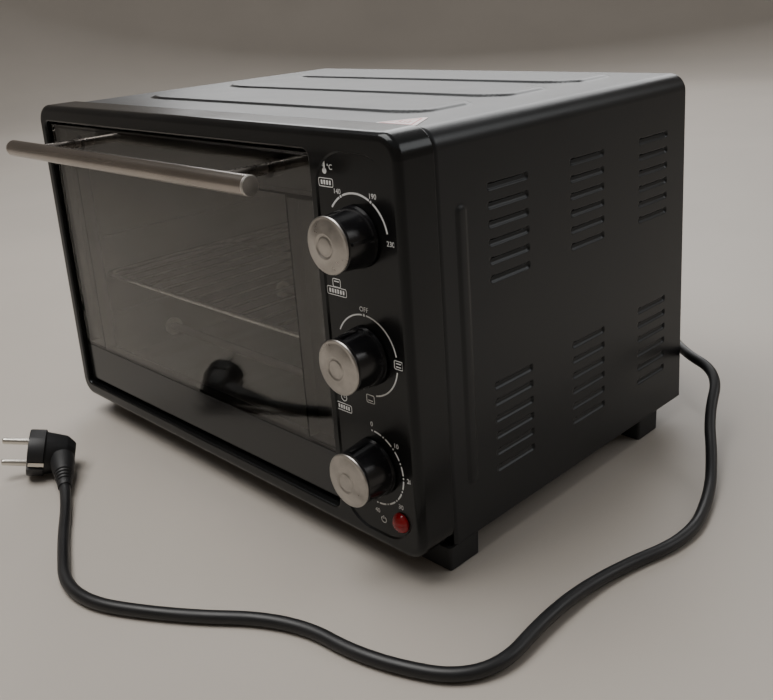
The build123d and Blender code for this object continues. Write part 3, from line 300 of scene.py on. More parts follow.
# %% Metal finishes
def brushed(name, colour, low, high, stretch):
    material = finish(name, colour, (low + high) / 2, metallic=1.0)
    stroke = noise(material, 60.0, detail=4.0, stretch=stretch)
    gloss(material, stroke, low, high)
    relief(material, stroke, 0.00002, 0.4)
    smear = noise(material, 14.0)
    colours(material, smear, tuple(c * 0.86 for c in colour), colour)
    return material


def turned(name, colour, low, high, per_metre, centre, axis):
    material = finish(name, colour, (low + high) / 2, metallic=1.0)
    cut = turned_rings(material, per_metre, centre, axis)
    relief(material, cut, 0.000012, 0.6)
    smear = noise(material, 120.0, detail=4.0)
    gloss(material, smear, low, high)
    colours(material, smear, tuple(c * 0.80 for c in colour), colour)
    return material


def middle(*names):
    """Middle of the box that holds the named nodes."""
    lows, highs = zip(*(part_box(name) for name in names))
    low = Vector([min(corner[i] for corner in lows) for i in range(3)])
    high = Vector([max(corner[i] for corner in highs) for i in range(3)])
    return (low + high) / 2


STEEL = (0.60, 0.575, 0.545)
# The bar and its posts are a darker steel than the bar's ends: painted shade, standing for the dim
# surroundings that they mirror.
SHADED_BAR_STEEL = (0.37, 0.335, 0.305)
CAP_STEEL = (0.49, 0.465, 0.435)
stainless = brushed("stainless", SHADED_BAR_STEEL, 0.22, 0.32, (0.03, 1.0, 1.0))
bar_end = turned("bar_end", STEEL, 0.34, 0.48, 2600.0, middle("handle_bar"), "X")
zinc = brushed("zinc_steel", (0.55, 0.55, 0.54), 0.30, 0.45, (1.0, 1.0, 1.0))
sheath = brushed("heater_sheath", (0.23, 0.21, 0.20), 0.35, 0.55, (0.2, 1.0, 1.0))
aluminised = brushed("aluminised", (0.50, 0.49, 0.47), 0.38, 0.55, (1.0, 0.15, 1.0))
chrome = brushed("chrome_wire", (0.66, 0.66, 0.66), 0.12, 0.22, (0.5, 0.5, 1.0))
nickel = brushed("nickel", (0.72, 0.69, 0.63), 0.16, 0.26, (1.0, 1.0, 1.0))
print("metal finishes ready")

# %% [markdown]
# ## Glass, plastics, ceramic and paper
# The door is clear glass with a grey tint. It is one real sheet 4 mm thick, so
# light bends at both faces and the oven shows through it darkly. Its smears are
# only in the roughness. The small parts keep to plain moulded finishes, each
# with its own relief.

# %% Other finishes
def smeared_glass():
    material = finish("door_glass", (0.70, 0.70, 0.68), 0.02, Transmission_Weight=1.0, IOR=1.47)
    gloss(material, noise(material, 26.0, detail=6.0, stretch=(1.0, 1.0, 0.5)), 0.0, 0.05)
    return material


def moulded(name, colour, low, high, depth, per_metre=700.0, **sockets):
    material = finish(name, colour, (low + high) / 2, **sockets)
    speck = noise(material, per_metre, detail=2.0)
    relief(material, speck, depth, 0.5)
    cloud = noise(material, 30.0, detail=4.0)
    gloss(material, cloud, low, high)
    pale = tuple(min(1.0, c * 1.25 + 0.003) for c in colour)
    colours(material, cloud, colour, pale, at=(0.4, 0.8))
    return material


glass = smeared_glass()
knob_black = moulded("knob_black", (0.006, 0.006, 0.007), 0.14, 0.26, 0.00001)
cream = moulded("control_plastic", (0.62, 0.58, 0.48), 0.40, 0.55, 0.00004)
ceramic = moulded("ceramic_white", (0.78, 0.75, 0.68), 0.25, 0.40, 0.00003)
red_lens = moulded("red_lens", (0.27, 0.005, 0.008), 0.06, 0.16, 0.00002, per_metre=420.0)
cord_black = moulded("cord_black", (0.009, 0.009, 0.010), 0.36, 0.50, 0.00005)
plug_black = moulded("plug_black", (0.007, 0.007, 0.008), 0.42, 0.58, 0.00006)
label_paper = moulded("label_paper", (0.74, 0.62, 0.62), 0.35, 0.50, 0.00001)
label_red = moulded("label_red", (0.50, 0.05, 0.06), 0.35, 0.50, 0.00001)
print_white = moulded("print_white", (0.74, 0.74, 0.73), 0.45, 0.60, 0.00001)
print("other finishes ready")

# %% [markdown]
# ## The mains cord
# A cord is a fixed length of something flexible. It leaves the rear panel level,
# turns to the right and hangs to the floor beside the oven, then lies in loose
# curves round the right front corner to the plug before the door. A NURBS curve
# led by listed control points gives it bends that flow into each other.

# %% Cord
CORD_DIAMETER = 7.6 * MM
CORD_ROUTE = [
    (58, 186, 60), (58, 214, 60), (84, 236, 59), (120, 236, 57), (154, 210, 55), (196, 170, 50),
    (234, 156, 46), (246, 118, 30), (262, 92, 14), (277, 60, 5), (290, 10, 3.9), (272, -46, 3.9),
    (269, -100, 7.5), (275, -162, 4.2), (220, -189, 3.9), (163, -193, 3.9), (108, -236, 3.9),
    (46, -268, 3.9), (-14, -240, 3.9), (-53, -218, 4.6), (-71, -209.7, 8.2),
]


def cord_curve(name, route, diameter):
    curve = bpy.data.curves.new(name, "CURVE")
    curve.dimensions = "3D"
    curve.bevel_depth = diameter / 2
    curve.bevel_resolution = 7
    curve.resolution_u = 14
    curve.use_fill_caps = True
    spline = curve.splines.new("NURBS")
    spline.points.add(len(route) - 1)
    for point, place in zip(spline.points, route):
        point.co = (*(v * MM for v in place), 1.0)
    spline.order_u = 3
    spline.use_endpoint_u = True
    return curve


cord = add_piece("mains_cord_lead", cord_curve("mains_cord_lead", CORD_ROUTE, CORD_DIAMETER),
                 "oven", cord_black, replaces=["mains_cord"])
print("cord:", len(CORD_ROUTE), "control points")

# %% [markdown]
# ## The strain relief
# Where the cord leaves the sheet steel a moulded sleeve keeps it from kinking.
# It is a taper cut by ring slots, so that it bends easily. It is turned from one
# profile: collar, then ribs and grooves that get smaller towards the tip.

# %% Strain relief at the rear
GLAND_RIBS = 6


def gland_mesh():
    low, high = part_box("cord_gland")
    centre = Vector(((low.x + high.x) / 2, low.y, (low.z + high.z) / 2))
    length = high.y - low.y
    flange = (high.x - low.x) / 2
    bore = CORD_DIAMETER / 2
    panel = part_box("rear_panel")[1].y - low.y
    profile = [(bore, 0), (flange * 0.94, 0), (flange * 0.94, panel - 1.1 * MM),
               (bore + 3.3 * MM, panel - MM), (bore + 3.3 * MM, panel), (flange - 0.4 * MM, panel),
               (flange, panel + 0.4 * MM), (flange, panel + 2.1 * MM),
               (flange - 0.6 * MM, panel + 2.6 * MM)]
    start, stop = panel + 3.4 * MM, length
    step = (stop - start) / GLAND_RIBS
    for i in range(GLAND_RIBS):
        share = i / GLAND_RIBS
        rib = bore + (3.1 - 2.1 * share) * MM
        groove = bore + (1.5 - 0.9 * share) * MM
        at = start + i * step
        profile += [(groove, at), (rib - 0.2 * MM, at + 0.15 * step), (rib, at + 0.3 * step),
                    (rib, at + 0.6 * step), (rib - 0.3 * MM, at + 0.75 * step),
                    (groove, at + 0.85 * step)]
    profile += [(bore + 0.9 * MM, stop - 0.3 * MM), (bore + 0.6 * MM, stop), (bore, stop)]
    bm = bmesh.new()
    spin_profile(bm, profile, centre, Vector((0, 1, 0)), Vector((1, 0, 0)), 48)
    return finish_mesh("strain_relief", bm)


relief_sleeve = add_piece("strain_relief", gland_mesh(), "oven", plug_black,
                          replaces=["cord_gland"])
print("strain relief:", len(relief_sleeve.data.vertices), "vertices")

# %% [markdown]
# ## The plug
# The plug is one rubber moulding: a thick round rim with two flats, notches for
# the earth clips, a tapered grip with a chamfered back, and a short neck for the
# cord. It rests on the rim's rear edge and on the grip, so the pins point up a
# little. Its sections are rounded shapes stacked along its axis and skinned.

# %% Plug body
PLUG_FACE = Vector((-123.0, -211.0, 19.3)) * MM
PLUG_YAW, PLUG_TILT, PLUG_ROLL = (math.radians(v) for v in (60.0, 13.2, 10.0))
PLUG_BACK = Vector((math.cos(PLUG_YAW) * math.cos(PLUG_TILT),
                    math.sin(PLUG_YAW) * math.cos(PLUG_TILT), -math.sin(PLUG_TILT)))
PLUG_SIDE = Matrix.Rotation(PLUG_ROLL, 3, PLUG_BACK) @ Vector(
    (math.sin(PLUG_YAW), -math.cos(PLUG_YAW), 0))
PLUG_UP = PLUG_SIDE.cross(PLUG_BACK)
RIM_R, RIM_FLAT, RIM_D = 17.0 * MM, 16.4 * MM, 12 * MM
GRIP_FLAT = 1.0 * MM
GRIP_SHAPE = [(15.7, 12.0), (15.4, 12.7), (13.1, 26.4), (12.5, 27.6), (8.6, 32.3), (7.5, 33.0)]
NOTCH_HALF, NOTCH_DEEP = 2.6 * MM, 2.3 * MM
SECTION_STEPS = 96


def plug_section(bm, radius, flat, depth, notch=0.0):
    """A ring of the plug at that depth, round with flats, notched at its sides."""
    ring = []
    for i in range(SECTION_STEPS):
        angle = 2 * math.pi * i / SECTION_STEPS
        across, upward = radius * math.cos(angle), radius * math.sin(angle)
        upward = max(-flat, min(flat, upward))
        if notch and abs(upward) < NOTCH_HALF:
            across = math.copysign(radius - notch, across)
        place = PLUG_FACE + PLUG_BACK * depth + PLUG_SIDE * across + PLUG_UP * upward
        ring.append(bm.verts.new(place))
    return ring


def plug_mesh():
    bm = bmesh.new()
    stations = [(RIM_R - 1.2 * MM, RIM_FLAT - 1.2 * MM, 0.0, NOTCH_DEEP),
                (RIM_R - 0.3 * MM, RIM_FLAT - 0.3 * MM, 0.35 * MM, NOTCH_DEEP),
                (RIM_R, RIM_FLAT, 1.2 * MM, NOTCH_DEEP),
                (RIM_R, RIM_FLAT, RIM_D - 0.7 * MM, NOTCH_DEEP),
                (RIM_R - 0.6 * MM, RIM_FLAT - 0.6 * MM, RIM_D, NOTCH_DEEP)]
    stations += [(radius * MM, radius * MM - GRIP_FLAT, depth * MM, 0)
                 for radius, depth in GRIP_SHAPE]
    sections = [plug_section(bm, *station) for station in stations]
    join_rings(bm, sections)
    bm.faces.new(sections[0])
    bm.faces.new(sections[-1])
    return finish_mesh("plug_moulding", bm, math.radians(30))


plug = add_piece("plug_moulding", plug_mesh(), "oven", plug_black,
                 replaces=["plug_body"])

# %% Neck of the plug
CORD_END = Vector(CORD_ROUTE[-1]) * MM
NECK_TO = (CORD_END - Vector(CORD_ROUTE[-2]) * MM).normalized()
NECK_LENGTH = 34 * MM
NECK_GROOVES = 4


def neck_mesh():
    """Tapered sleeve round the cord's end, widening into the grip."""
    bore = CORD_DIAMETER / 2
    profile = [(bore, 0), (bore + 0.7 * MM, 0), (bore + 1.0 * MM, 0.6 * MM),
               (bore + 1.3 * MM, 4 * MM)]
    for i in range(NECK_GROOVES):
        at = (5.0 + 3.0 * i) * MM
        wide = bore + (1.4 + 0.5 * i) * MM
        profile += [(wide, at), (wide - 0.7 * MM, at + 0.4 * MM), (wide - 0.7 * MM, at + 1.2 * MM),
                    (wide + 0.15 * MM, at + 1.6 * MM)]
    profile += [(bore + 3.6 * MM, 19 * MM), (bore + 4.5 * MM, 25 * MM),
                (bore + 4.9 * MM, NECK_LENGTH), (0, NECK_LENGTH)]
    bm = bmesh.new()
    across = NECK_TO.cross(Vector((0, 0, 1))).normalized()
    spin_profile(bm, profile, CORD_END, NECK_TO, across, 40)
    return finish_mesh("plug_neck", bm)


neck = add_piece("plug_neck", neck_mesh(), "oven", plug_black)
print("plug: body and neck on the cord's end")

# %% [markdown]
# ## The pressed cabinet
# The cabinet is one sheet of steel bent over the top, with louvres and a bead
# pressed into each side and three long panels pressed into the top. Cut solids
# leave knife edges there, but a press leaves soft ones. So the sheet is a grid
# that follows the bend, with closer lines where it is pressed, and each vertex
# moves in or out by a smooth function of its distance from the pressing's edge.

# %% Measures of the cabinet
cover_low, cover_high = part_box("cover")
BEAD_OUT = 1.2 * MM
COVER_X = cover_high.x - BEAD_OUT
EMBOSS = 1.5 * MM
COVER_TOP = cover_high.z - EMBOSS
BEND_R = 12.0 * MM
SHEET = 1.0 * MM
FRONT_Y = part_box("fascia")[0].y
LOUVRE_Y = [FRONT_Y + (88.0 + i * 79.5) * MM for i in range(3)]
LOUVRE_Z = [75.0 * MM, 195.0 * MM]
LOUVRE_ROWS = [(i - 2.5) * 10.8 * MM for i in range(6)]
LOUVRE_HALF, LOUVRE_R, LOUVRE_DEPTH = 19.0 * MM, 2.5 * MM, 1.6 * MM
SLIT_FROM, SLIT_TO, SLIT_HALF = 1.25 * MM, 1.9 * MM, 15.6 * MM
BEAD_Y, BEAD_Z, BEAD_HALF, BEAD_R = FRONT_Y + 47.0 * MM, 132.5 * MM, 85.0 * MM, 5.0 * MM
PANEL_Y = [FRONT_Y + (95.0 + i * 76.0) * MM for i in range(3)]
PANEL_HALF_X, PANEL_HALF_Y, PANEL_R = COVER_X - 44.0 * MM, 29.0 * MM, 16.0 * MM
PANEL_SLOPE = 2.2 * MM
PANEL_EASE = 0.5            # the panels' ends are this much softer than their long edges
SEAM, HEM_L, HEM_DEEP = 1.3 * MM, 3.2 * MM, 1.0 * MM


def soft(t):
    """0 to 1 with a smooth start and stop."""
    t = max(0.0, min(1.0, t))
    return t * t * (3 - 2 * t)


def slot_distance(u, v, half, radius):
    """Signed distance from a slot's outline, below 0 inside it."""
    return math.hypot(max(abs(u) - (half - radius), 0.0), v) - radius


def corner_distance(u, v, half_u, half_v, radius):
    """Signed distance from a rounded rectangle's outline."""
    a, b = abs(u) - half_u + radius, abs(v) - half_v + radius
    return math.hypot(max(a, 0.0), max(b, 0.0)) + min(max(a, b), 0.0) - radius


def side_relief(y, z):
    """How far the side is pressed out (above 0) or in at that place."""
    bead = slot_distance(z - BEAD_Z, y - BEAD_Y, BEAD_HALF, BEAD_R)
    if bead < 0:
        return (BEAD_OUT - 0.05 * MM) * soft(-bead / (0.62 * BEAD_R))
    for group_y in LOUVRE_Y:
        if abs(y - group_y) > LOUVRE_HALF:
            continue
        for group_z in LOUVRE_Z:
            for row in LOUVRE_ROWS:
                v = z - group_z - row
                inside = -slot_distance(y - group_y, v, LOUVRE_HALF, LOUVRE_R)
                if inside > 0:
                    if v > SLIT_TO - 0.02 * MM and abs(y - group_y) < SLIT_HALF:
                        return 0.0
                    dish = 0.55 + 0.45 * soft((v + LOUVRE_R) / (SLIT_FROM + LOUVRE_R))
                    return -LOUVRE_DEPTH * dish * soft(inside / (1.1 * MM))
    return 0.0


def top_relief(x, y):
    for panel_y in PANEL_Y:
        inside = -corner_distance(x * PANEL_EASE, y - panel_y, PANEL_HALF_X * PANEL_EASE,
                                  PANEL_HALF_Y, PANEL_R)
        if inside > 0:
            return EMBOSS * soft(inside / PANEL_SLOPE)
    return 0.0


def hem(y):
    """How far the front edge is rolled in, which leaves a dark seam at the fascia."""
    share = max(0.0, 1.0 - (y - cover_low.y - SEAM) / HEM_L)
    return HEM_DEEP * share * share


print("cabinet:", len(LOUVRE_Y) * len(LOUVRE_Z) * len(LOUVRE_ROWS), "louvres a side")

# %% Grid lines of the cabinet
def merged(values, apart):
    """Sorted values with those closer than apart left out."""
    kept = []
    for value in sorted(values):
        if not kept or value - kept[-1] > apart:
            kept.append(value)
    return kept


def spread(first, last, count):
    return [first + (last - first) * i / (count - 1) for i in range(count)]


def depth_lines():
    lines = [cover_low.y + SEAM + HEM_L * i / 7 for i in range(8)]
    lines += [cover_high.y - 0.6 * MM, cover_high.y]
    for group_y in LOUVRE_Y:
        for side in (-1, 1):
            lines += [group_y + side * (LOUVRE_HALF + d * MM)
                      for d in (0.9, 0.4, 0.0, -0.4, -0.9, -1.5, -2.2, -3.0, -3.4, -4.4)]
        lines += spread(group_y - 11 * MM, group_y + 11 * MM, 4)
    lines += [BEAD_Y + side * d * MM for side in (-1, 1)
              for d in (0, 1.6, 2.6, 3.4, 4.2, 5, 5.3, 6)]
    for panel_y in PANEL_Y:
        for side in (-1, 1):
            lines += [panel_y + side * (PANEL_HALF_Y - d * MM)
                      for d in (-0.9, -0.3, 0, 0.5, 1.0, 1.5, 2.2, 3.2, 4.6, 6.2, 8, 10, 12.5, 16)]
    return merged(lines, 0.22 * MM)


def side_lines():
    lines = [cover_low.z, cover_low.z + 0.6 * MM]
    for group_z in LOUVRE_Z:
        for row in LOUVRE_ROWS:
            lines += [group_z + row + d * MM
                      for d in (-3.4, -2.9, -2.5, -2.0, -1.4, -0.6, 0.4, 1.25, 1.9, 2.4, 2.9)]
    for side in (-1, 1):
        lines += [BEAD_Z + side * (BEAD_HALF - d * MM) for d in (-0.3, 0, 0.7, 1.5, 2.4, 3.4, 4.6)]
    lines += spread(cover_low.z + 12 * MM, COVER_TOP - BEND_R, 9)
    exact = [z + row + d for z in LOUVRE_Z for row in LOUVRE_ROWS for d in (SLIT_FROM, SLIT_TO)]
    lines = [z for z in lines if all(abs(z - e) > 0.2 * MM or abs(z - e) < 1e-9 for e in exact)]
    return merged(lines, 0.2 * MM)


def top_lines():
    edge = [PANEL_HALF_X - d * MM
            for d in (-1, 0, 0.6, 1.3, 2.1, 3, 4.4, 6, 8, 10.5, 13.5, 17, 21, 26, 32)]
    lines = edge + [-x for x in edge] + spread(-COVER_X + BEND_R, COVER_X - BEND_R, 14)
    return merged(lines, 0.22 * MM)


def wrap_path():
    """Places round the section from the right foot, over the top, to the left foot.

    Each is (x, z, normal x, normal z)."""
    path = [(COVER_X, z, 1.0, 0.0) for z in side_lines()]
    for i in range(1, 9):
        angle = math.pi / 2 * i / 9
        path.append((COVER_X - BEND_R + BEND_R * math.cos(angle),
                     COVER_TOP - BEND_R + BEND_R * math.sin(angle),
                     math.cos(angle), math.sin(angle)))
    path += [(x, COVER_TOP, 0.0, 1.0) for x in reversed(top_lines())]
    right = [place for place in path if place[2] > 0]
    return path + [(-x, z, -nx, nz) for x, z, nx, nz in reversed(right)]


def in_slit(y, z):
    return any(abs(y - group_y) < SLIT_HALF for group_y in LOUVRE_Y) and any(
        group_z + row + SLIT_FROM < z < group_z + row + SLIT_TO
        for group_z in LOUVRE_Z for row in LOUVRE_ROWS)


print("grid:", len(depth_lines()), "by", len(wrap_path()), "lines")

# %% Cabinet piece
def cabinet_mesh():
    bm = bmesh.new()
    rows = depth_lines()
    path = wrap_path()
    grid = []
    for x, z, nx, nz in path:
        line = []
        for y in rows:
            if nz == 0.0:
                out = side_relief(y, z)
            elif nx == 0.0:
                out = top_relief(x, y)
            else:
                out = 0.0
            out -= hem(y)
            line.append(bm.verts.new((x + nx * out, y, z + nz * out)))
        grid.append(line)
    for i in range(len(path) - 1):
        flat_side = path[i][3] == 0.0 and path[i + 1][3] == 0.0
        for j in range(len(rows) - 1):
            middle_z = (path[i][1] + path[i + 1][1]) / 2
            if flat_side and in_slit((rows[j] + rows[j + 1]) / 2, middle_z):
                continue
            bm.faces.new((grid[i][j], grid[i + 1][j], grid[i + 1][j + 1], grid[i][j + 1]))
    return finish_mesh("cabinet_sheet", bm, math.radians(50))


cabinet = add_piece("cabinet_sheet", cabinet_mesh(), "oven", cabinet_black,
                    replaces=["cover"])
thickness = cabinet.modifiers.new("sheet", "SOLIDIFY")
thickness.thickness = SHEET
thickness.offset = -1.0
thickness.use_even_offset = False
shading = cabinet.modifiers.new("shading", "WEIGHTED_NORMAL")
shading.keep_sharp = True
print("cabinet:", len(cabinet.data.polygons), "faces before thickness")

# %% [markdown]
# ## The printed dials
# The control field carries white screen printing: an arc round each knob with
# its marks and numbers, and small pictures beside them. Print is ink with a
# thickness, here just under a tenth of a millimetre, so it is real geometry that
# stands on the enamel, and stays sharp from near by.

# %% Print helpers
KNOBS = ("temperature", "function", "timer")
PRINT_T = 0.08 * MM
FIELD_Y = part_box("control_nuts")[1].y
INK_Y = FIELD_Y - PRINT_T
TEXT_H = 2.9 * MM
TEXT_SCALE = 1.38            # the letters' nominal size over the height of a numeral


def ink_strip(bm, points, width, closed=False):
    """A flat line of ink through (x, z) points."""
    pairs = []
    count = len(points)
    for i, (x, z) in enumerate(points):
        before = points[i - 1] if closed or i else points[i]
        after = points[(i + 1) % count] if closed or i < count - 1 else points[i]
        along = Vector((after[0] - before[0], after[1] - before[1])).normalized()
        off = Vector((-along.y, along.x)) * width / 2
        pairs.append((bm.verts.new((x + off.x, INK_Y, z + off.y)),
                      bm.verts.new((x - off.x, INK_Y, z - off.y))))
    for i in range(count if closed else count - 1):
        a, b = pairs[i], pairs[(i + 1) % count]
        bm.faces.new((a[0], b[0], b[1], a[1]))


def clock_point(centre, radius, degrees):
    """Point on a dial, with 0 at the top and clockwise as seen from the front."""
    angle = math.radians(degrees)
    return centre[0] + radius * math.sin(angle), centre[1] + radius * math.cos(angle)


def ink_arc(bm, centre, radius, start, stop, width):
    steps = max(3, int(abs(stop - start) / 3))
    ink_strip(bm, [clock_point(centre, radius, a) for a in spread(start, stop, steps)], width)


def ink_dot(bm, centre, radius):
    ring = [bm.verts.new((x, INK_Y, z)) for x, z in
            (clock_point(centre, radius, 360 * i / 16) for i in range(16))]
    bm.faces.new(ring)


def ink_box(bm, centre, wide, high, radius, width):
    corners = []
    for sx, sz, start in ((1, 1, 0), (1, -1, 90), (-1, -1, 180), (-1, 1, 270)):
        corner = (centre[0] + sx * (wide / 2 - radius), centre[1] + sz * (high / 2 - radius))
        corners += [clock_point(corner, radius, start + 30 * i) for i in range(4)]
    ink_strip(bm, corners, width, closed=True)


def ink_text(bm, text, centre, high):
    """Numbers in the plain built-in letters, centred on a point."""
    words = bpy.data.curves.new("ink", "FONT")
    words.body = text
    words.size = high * TEXT_SCALE
    words.align_x = words.align_y = "CENTER"
    carrier = bpy.data.objects.new("ink", words)
    flat = bpy.data.meshes.new_from_object(carrier)
    upright = Matrix.Translation((centre[0], INK_Y, centre[1])) @ Matrix.Rotation(
        math.pi / 2, 4, "X")
    flat.transform(upright)
    bm.from_mesh(flat)
    bpy.data.objects.remove(carrier)
    bpy.data.curves.remove(words)
    bpy.data.meshes.remove(flat)


def ink_piece(name, bm):
    """Gives flat ink its thickness, back to the enamel."""
    bmesh.ops.recalc_face_normals(bm, faces=bm.faces)
    for face in bm.faces:
        if face.normal.y > 0:
            face.normal_flip()
    flat = list(bm.faces)
    raised = bmesh.ops.extrude_face_region(bm, geom=flat)
    for item in raised["geom"]:
        if isinstance(item, bmesh.types.BMVert):
            item.co.y += PRINT_T * 0.9
    mesh = bpy.data.meshes.new(name)
    bm.to_mesh(mesh)
    bm.free()
    return add_piece(name, mesh, "oven", print_white)


print("ink helpers ready, ink at y", round(INK_Y, 5))

# %% Dial prints
knob_at = {name: middle(f"knob_{name}") for name in KNOBS}


def dial_point(name, right, up):
    return knob_at[name].x + right * MM, knob_at[name].z + up * MM


def label_box(bm, centre, wide, letters):
    """A framed label with a row of plain bars in place of a word."""
    ink_box(bm, centre, wide, 4.6 * MM, 1.0 * MM, 0.4 * MM)
    pitch = (wide - 2.6 * MM) / letters
    for i in range(letters):
        x = centre[0] + (i - (letters - 1) / 2) * pitch
        ink_strip(bm, [(x, centre[1] - 1.2 * MM), (x, centre[1] + 1.2 * MM)], 0.62 * pitch)


def oven_icon(bm, centre, heats):
    """A small framed oven with a bar for each heater that is on."""
    ink_box(bm, centre, 6.2 * MM, 4.8 * MM, 0.8 * MM, 0.45 * MM)
    for up in heats:
        at = centre[1] + up * MM
        ink_strip(bm, [(centre[0] - 1.9 * MM, at), (centre[0] + 1.9 * MM, at)], 0.6 * MM)


def temperature_print():
    bm = bmesh.new()
    centre = dial_point("temperature", 0, 0)
    radius = 23.5 * MM
    for start, stop in ((-53, -31.5), (-24.5, 27.5), (34.5, 79)):
        ink_arc(bm, centre, radius, start, stop, 1.1 * MM)
    for mark in (-28, 31):
        ink_dot(bm, clock_point(centre, radius, mark), 0.75 * MM)
    for text, right, up in (("140", -13.8, 23.2), ("190", 13.7, 23.2), ("230", 25.0, -0.9)):
        ink_text(bm, text, dial_point("temperature", right, up), TEXT_H)
    stem = dial_point("temperature", -22.7, 37.2)
    ink_strip(bm, [(stem[0], stem[1] - 2.6 * MM), (stem[0], stem[1] + 3.2 * MM)], 1.5 * MM)
    ink_dot(bm, (stem[0], stem[1] - 3.4 * MM), 1.7 * MM)
    for tick in (-0.6, 0.6, 1.8):
        ink_strip(bm, [(stem[0] - 1.6 * MM, stem[1] + tick * MM),
                       (stem[0] - 0.7 * MM, stem[1] + tick * MM)], 0.4 * MM)
    ink_text(bm, "°C", dial_point("temperature", -18.3, 36.0), 3.0 * MM)
    label_box(bm, dial_point("temperature", -22.3, 27.4), 11.6 * MM, 4)
    return ink_piece("temperature_print", bm)


def function_print():
    bm = bmesh.new()
    centre = dial_point("function", 0, 0)
    radius = 23.7 * MM
    for start, stop in ((-62, -4), (4, 79), (101, 168)):
        ink_arc(bm, centre, radius, start, stop, 0.85 * MM)
    ink_dot(bm, clock_point(centre, radius, 0), 0.8 * MM)
    ink_text(bm, "OFF", dial_point("function", 0.2, 26.9), TEXT_H)
    oven_icon(bm, clock_point(centre, radius + 0.8 * MM, 90), (-1.0, 0.9))
    oven_icon(bm, clock_point(centre, radius + 2.6 * MM, 180), (-1.0,))
    oven_icon(bm, dial_point("function", -20.6, 38.6), (0.9,))
    label_box(bm, dial_point("function", -21.0, 33.6), 16.0 * MM, 6)
    return ink_piece("function_print", bm)


TIMER_STEP, TIMER_GAP = 22.5, 4.4      # degrees between marks, and left clear beside each


def timer_print():
    bm = bmesh.new()
    centre = dial_point("timer", -0.8, -0.6)
    radius = 23.0 * MM
    marks = [TIMER_STEP * i for i in range(9)]
    for before, after in zip(marks, marks[1:]):
        ink_arc(bm, centre, radius, before + TIMER_GAP, after - TIMER_GAP, 0.95 * MM)
    for mark in marks:
        ink_dot(bm, clock_point(centre, radius, mark), 0.55 * MM)
    numbers = (("0", 0, 26.9), ("10", 45, 26.6), ("20", 91, 27.6), ("30", 135, 27.3),
               ("40", 181, 28.4))
    for text, degrees, out in numbers:
        ink_text(bm, text, clock_point(centre, out * MM, degrees), TEXT_H)
    clock = dial_point("timer", -22.8, 36.9)
    ink_arc(bm, clock, 2.3 * MM, 20, 340, 0.45 * MM)
    ink_strip(bm, [(clock[0], clock[1] + 1.5 * MM), clock,
                   (clock[0] + 1.1 * MM, clock[1])], 0.4 * MM)
    label_box(bm, dial_point("timer", -23.5, 30.4), 13.0 * MM, 5)
    return ink_piece("timer_print", bm)


def power_print():
    """The plain power sign beside the lamp."""
    bm = bmesh.new()
    lamp = middle("power_lamp")
    centre = (lamp.x - 14.6 * MM, lamp.z - 3.6 * MM)
    ink_arc(bm, centre, 1.9 * MM, 32, 328, 0.5 * MM)
    ink_strip(bm, [(centre[0], centre[1] + 0.4 * MM), (centre[0], centre[1] + 2.6 * MM)], 0.5 * MM)
    return ink_piece("power_print", bm)


prints = [temperature_print(), function_print(), timer_print(), power_print()]
print("prints:", [piece.name for piece in prints])

# %% [markdown]
# ## The hot-surface label
# A triangle on the top warns that it gets hot. The label is a thin sheet, and
# its print is a red border and three wavy lines for rising heat.

# %% Label print
LABEL_INK = 0.05 * MM


def label_print():
    low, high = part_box("sticker")
    centre = Vector(((low.x + high.x) / 2, (low.y + high.y) / 2))
    top = high.z + LABEL_INK
    half = (high.x - low.x) / 2
    bm = bmesh.new()

    def flat_line(points, width, closed):
        before_count = len(bm.verts)
        ink_strip(bm, points, width, closed)
        bm.verts.ensure_lookup_table()
        for vert in list(bm.verts)[before_count:]:
            vert.co = Vector((vert.co.x, vert.co.z, top))

    tall = high.y - low.y
    tip = 2.6 * MM
    pitch, swing, step_up = 3.4 * MM, 0.7 * MM, 0.9 * MM
    corners = [(centre.x, high.y - 1.5 * tip), (centre.x + half - 1.25 * tip, low.y + 0.75 * tip),
               (centre.x - half + 1.25 * tip, low.y + 0.75 * tip)]
    flat_line(corners, 1.6 * MM, True)
    for i in (-1, 0, 1):
        x = centre.x + i * pitch
        wave = [(x + swing * math.sin(step * math.pi / 4), low.y + tall * 0.2 + step * step_up)
                for step in range(10 if i == 0 else 8)]
        flat_line(wave, 0.9 * MM, False)
    raised = bmesh.ops.extrude_face_region(bm, geom=list(bm.faces))
    for item in raised["geom"]:
        if isinstance(item, bmesh.types.BMVert):
            item.co.z -= LABEL_INK
    return finish_mesh("label_print", bm)


label = add_piece("label_print", label_print(), "oven", label_red)
print("label print:", len(label.data.polygons), "faces")

# %% [markdown]
# ## The knob caps
# Each cap is a spun disc: a low dome inside a fine rim, with a ring pressed in
# round the middle. It is turned about its own knob's axis, so that the marks of
# the tool run true when the knob moves.

# %% Knob caps
# Share of the radius, and distance behind the cap's foremost point in mm.
CAP_FACE = [(0, 0.22), (0.27, 0.20), (0.31, 0.32), (0.34, 0.75), (0.37, 0.72), (0.40, 0.20),
            (0.43, 0.06), (0.47, 0.16), (0.60, 0.62), (0.74, 1.20), (0.86, 1.78), (0.92, 2.10)]
CAP_RIM = [(0.945, 2.02), (0.97, 2.12), (0.99, 2.42), (1.0, 2.85), (0.985, 3.25)]
CAP_NECK = 0.95             # the cap's back is this share of its radius


def cap_mesh(name):
    low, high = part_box(f"knob_{name}_cap")
    radius, depth = (high.x - low.x) / 2, high.y - low.y
    centre = Vector(((low.x + high.x) / 2, low.y, (low.z + high.z) / 2))
    profile = [(share * radius, along * MM) for share, along in CAP_FACE + CAP_RIM]
    profile += [(CAP_NECK * radius, depth), (0, depth)]
    bm = bmesh.new()
    spin_profile(bm, profile, centre, Vector((0, 1, 0)), Vector((1, 0, 0)), 72)
    return finish_mesh(f"cap_{name}", bm, math.radians(50))


